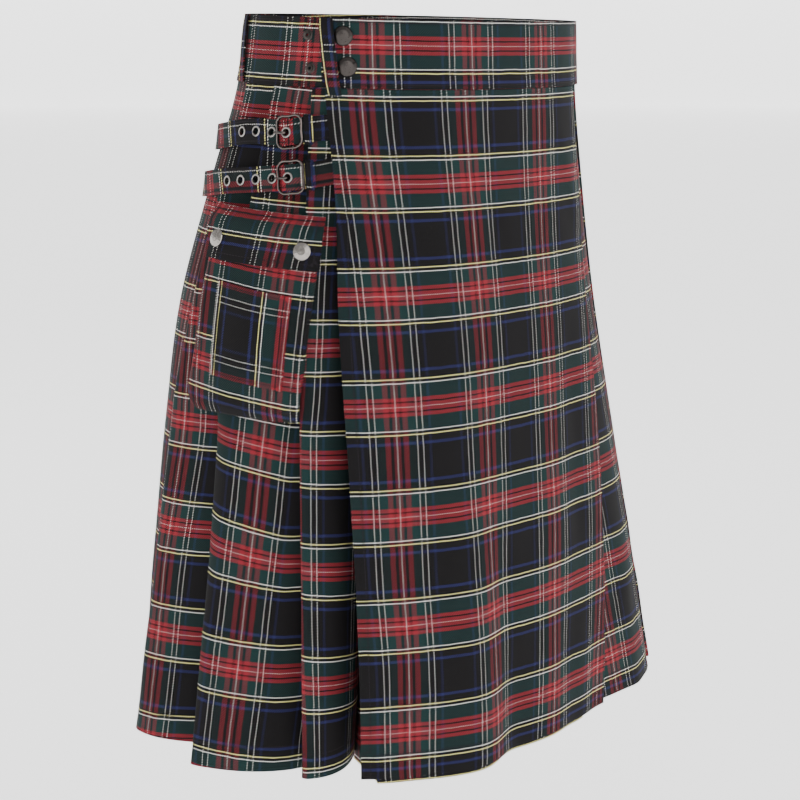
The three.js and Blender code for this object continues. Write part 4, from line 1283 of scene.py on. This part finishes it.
def hip_strap(settings, name, buckle, eyelets, line):
    points = [(place, strap_rise(place), strap_rise(place, 2)) for place in np.linspace(-167, -15, 77)]
    points += steps(STRAP_OVER_BAR, [1, 1, 1, 1, 6, 1, 1, 1, 1, 2, 5])
    obj = ribbon(
        f"cloth_strap_{name}", line, buckle, points, STRAP_THICK, tartan(settings), STRAP_PHASE[name]
    )
    turns = [2 * math.pi * i / EYELET_SIDES for i in range(EYELET_SIDES)]
    radius = (EYELET_HOLE + EYELET_EASE) * MM
    outline = [(radius * math.cos(t), radius * math.sin(t)) for t in turns]
    holes = []
    for i in range(eyelets):
        # the first hole is the fastened one, on the flat crest over the bar
        place = FIRST_EYELET - i * EYELET_SPACING
        out, slope, lean = STRAP_CREST, 0.0, 0.0
        if i > 0:
            out = strap_rise(place)
            slope = (strap_rise(place + 2) - strap_rise(place - 2)) / 4
            lean = strap_rise(place, 2) / (STRAP_WIDTH / 2)
        matrix = seat(strap_drop(line, buckle + place), buckle + place, out, slope, lean)
        holes.append(prism(outline, 5 * MM, matrix))
    dress(obj, f"strap_{name}")
    cut_through(obj, holes)
    return obj


def buckle_tab(settings, name, buckle, line):
    radius = BAR + 0.25 + TAB_THICK / 2
    turns = [math.radians(turn) for turn in TAB_LOOP_TURNS]
    points = steps(TAB_RUN, [2, 2, 2, 2, 2, 3, 2])
    points += [(radius * math.cos(t), BAR_OUT + radius * math.sin(t)) for t in turns] + TAB_BACK
    obj = ribbon(
        f"cloth_buckle_tab_{name}", line, buckle, points, TAB_THICK, tartan(settings), STRAP_PHASE[name]
    )
    dress(obj, f"buckle_tab_{name}")
    # a slot for the prong, which goes round the bar with the tab
    low, high = ((TAB_SLOT["shift"] + way * TAB_SLOT["length"] / 2) * MM for way in (-1, 1))
    half = TAB_SLOT["height"] / 2 * MM
    outline = [(low, -half), (high, -half), (high, half), (low, half)]
    cut_through(obj, [prism(outline, 9 * MM, seat(strap_drop(line, buckle), buckle, BAR_OUT))])
    return obj


def strap_keeper(settings, name, buckle, line):
    along = buckle + KEEPER["middle"]
    half = STRAP_WIDTH / 2 + KEEPER["ease"] + KEEPER_THICK / 2
    low, high = KEEPER["low"] - KEEPER_THICK / 2, KEEPER["high"] + KEEPER_THICK / 2
    corners = [
        (-half + 1, low), (half - 1, low), (half, low + 1), (half, high - 1), (half - 1, high),
        (-half + 1, high), (-half, high - 1), (-half, low + 1), (-half + 1, low),
    ]
    down, out = np.array(steps(corners, [6, 2, 2, 2, 6, 2, 2, 2]))[:-1].T
    side = strip_sides(3, KEEPER["width"], KEEPER["edge"])[:, None]
    points = SKIN.place(strap_drop(line, along) + down, along + side, out)
    run = run_length(down, out)
    weave = pair(run + KEEPER_PHASE[0], side + KEEPER_PHASE[1])
    no_seam = np.ones(weave.shape)      # a metre from any seam: it has no stitches
    obj = grid_object(
        f"cloth_keeper_{name}", points, weave, no_seam, tartan(settings), KEEPER_THICK, closed=True
    )
    dress(obj, f"keeper_{name}")
    return obj


class KILT_OT_straps(bpy.types.Operator):
    """Sew the hip straps, their buckle tabs and their keepers"""

    bl_idname = "kilt.straps"
    bl_label = "Hip Straps"
    bl_options = {"REGISTER", "UNDO"}

    def execute(self, context):
        settings = context.scene.kilt
        made = []
        for name, buckle, eyelets, line in STRAPS:
            made.append(hip_strap(settings, name, buckle, eyelets, line))
            made.append(buckle_tab(settings, name, buckle, line))
            made.append(strap_keeper(settings, name, buckle, line))
        return finished(self, made)


# ---- metal --------------------------------------------------------------------------------------
class KILT_OT_metal(bpy.types.Operator):
    """Give the buckles, eyelets and snaps their plated finish"""

    bl_idname = "kilt.metal"
    bl_label = "Metal Finishes"
    bl_options = {"REGISTER", "UNDO"}

    def execute(self, context):
        finishes = [(starts, metal(*values)) for starts, *values in METALS]
        done = []
        for name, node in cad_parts.items():
            finish = next((material for starts, material in finishes if name.startswith(starts)), None)
            if finish is None or name.startswith("buckle_tab"):
                continue
            if not node.data.materials:
                node.data.materials.append(finish)
            for slot in node.material_slots:
                slot.material = finish
            done.append(node)
        return finished(self, done)


# ---- stage --------------------------------------------------------------------------------------
FLOOR = -0.9                  # the floor lies well below the hem, in metres
FLOOR_RADIUS = 24.0
CURVE_RADIUS = 2.0
WALL_TOP = 5.0
BACKDROP_TURNS = 48
CAMERA_PLACE = (-1.3191, -1.0896, -0.0159)
CAMERA_TILT = 10.64           # degrees down from level
CAMERA_TURN = -50.0           # degrees from looking along +Y
LIGHT_AIM = (0, 0, -0.3)
# name, place, size, strength as a share of the key light
LIGHTS = [
    ("key", (-2.6, -2.2, 1.5), 1.8, 1.0),
    ("fill", (1.4, -3.0, 0.6), 2.2, 0.45),
    ("back", (0.5, 2.6, 1.6), 2.0, 0.6),
]


def add_backdrop(settings):
    """A wide flat floor that curves up into a low wall all round, far behind the lights."""
    bends = np.linspace(0, math.pi / 2, 7)
    profile = [(FLOOR_RADIUS + CURVE_RADIUS * math.sin(t), CURVE_RADIUS * (1 - math.cos(t))) for t in bends]
    profile.append((FLOOR_RADIUS + CURVE_RADIUS, WALL_TOP))
    turns = [2 * math.pi * i / BACKDROP_TURNS for i in range(BACKDROP_TURNS)]
    points = [(r * math.cos(t), r * math.sin(t), FLOOR + z) for r, z in profile for t in turns]
    index = np.arange(len(points)).reshape(len(profile), BACKDROP_TURNS)
    after = np.roll(index, -1, axis=1)
    faces = np.stack([index[:-1], index[1:], after[1:], after[:-1]], axis=-1).reshape(-1, 4).tolist()
    mesh = mesh_from("backdrop", points, faces + [index[0].tolist()])
    mesh.materials.append(paper(settings))
    mesh.polygons.foreach_set("use_smooth", [True] * len(mesh.polygons))
    floor = add_object("floor", mesh)
    return floor


def add_camera(settings):
    data = bpy.data.cameras.new("camera")
    data.lens = settings.lens
    data.sensor_width = 36
    data.dof.use_dof = False
    data.clip_start = 0.05
    camera = add_object("camera", data)
    camera.location = CAMERA_PLACE
    camera.rotation_euler = Euler((math.radians(90 - CAMERA_TILT), 0, math.radians(CAMERA_TURN)))
    bpy.context.scene.camera = camera
    return camera


def add_light(settings, name, place, size, share):
    data = bpy.data.lights.new(name, "AREA")
    data.size = size
    data.energy = settings.light * share
    light = add_object(name, data)
    light.location = place
    light.rotation_euler = (Vector(LIGHT_AIM) - Vector(place)).to_track_quat("-Z", "Y").to_euler()
    return light


def add_sky(settings):
    world = bpy.data.worlds.new("Soft studio")
    world.use_nodes = True
    ground = world.node_tree.nodes["Background"]
    ground.inputs["Color"].default_value = colour("#ffffff")
    ground.inputs["Strength"].default_value = settings.sky
    bpy.context.scene.world = world
    return world


class KILT_OT_stage(bpy.types.Operator):
    """Set up the pale backdrop, the studio light and the camera"""

    bl_idname = "kilt.stage"
    bl_label = "Studio Stage"
    bl_options = {"REGISTER", "UNDO"}

    def execute(self, context):
        settings = context.scene.kilt
        made = [add_backdrop(settings), add_camera(settings), add_sky(settings)]
        return finished(self, made + [add_light(settings, *row) for row in LIGHTS])


# ---- the add-on ---------------------------------------------------------------------------------
OPERATORS = (
    KILT_OT_waistband, KILT_OT_front_apron, KILT_OT_under_apron, KILT_OT_side_panel, KILT_OT_pleats,
    KILT_OT_belt_loops, KILT_OT_pocket, KILT_OT_straps, KILT_OT_metal, KILT_OT_stage,
)


class KILT_PT_panel(bpy.types.Panel):
    """The kilt's panel in the 3D view's sidebar"""

    bl_idname = "KILT_PT_panel"
    bl_label = "Utility Kilt"
    bl_space_type = "VIEW_3D"
    bl_region_type = "UI"
    bl_category = "Kilt"

    def draw(self, context):
        settings = context.scene.kilt
        column = self.layout.column()
        for name in KiltSettings.__annotations__:
            column.prop(settings, name)
        for operator in OPERATORS:
            column.operator(operator.bl_idname)


CLASSES = (KiltSettings, *OPERATORS, KILT_PT_panel)


def register():
    for cls in CLASSES:
        bpy.utils.register_class(cls)
    bpy.types.Scene.kilt = bpy.props.PointerProperty(type=KiltSettings)


def unregister():
    del bpy.types.Scene.kilt
    for cls in reversed(CLASSES):
        bpy.utils.unregister_class(cls)


def main():
    """Builds everything in order."""
    register()
    for operator in OPERATORS:
        group, name = operator.bl_idname.split(".")
        getattr(getattr(bpy.ops, group), name)()


if __name__ == "__main__":
    main()
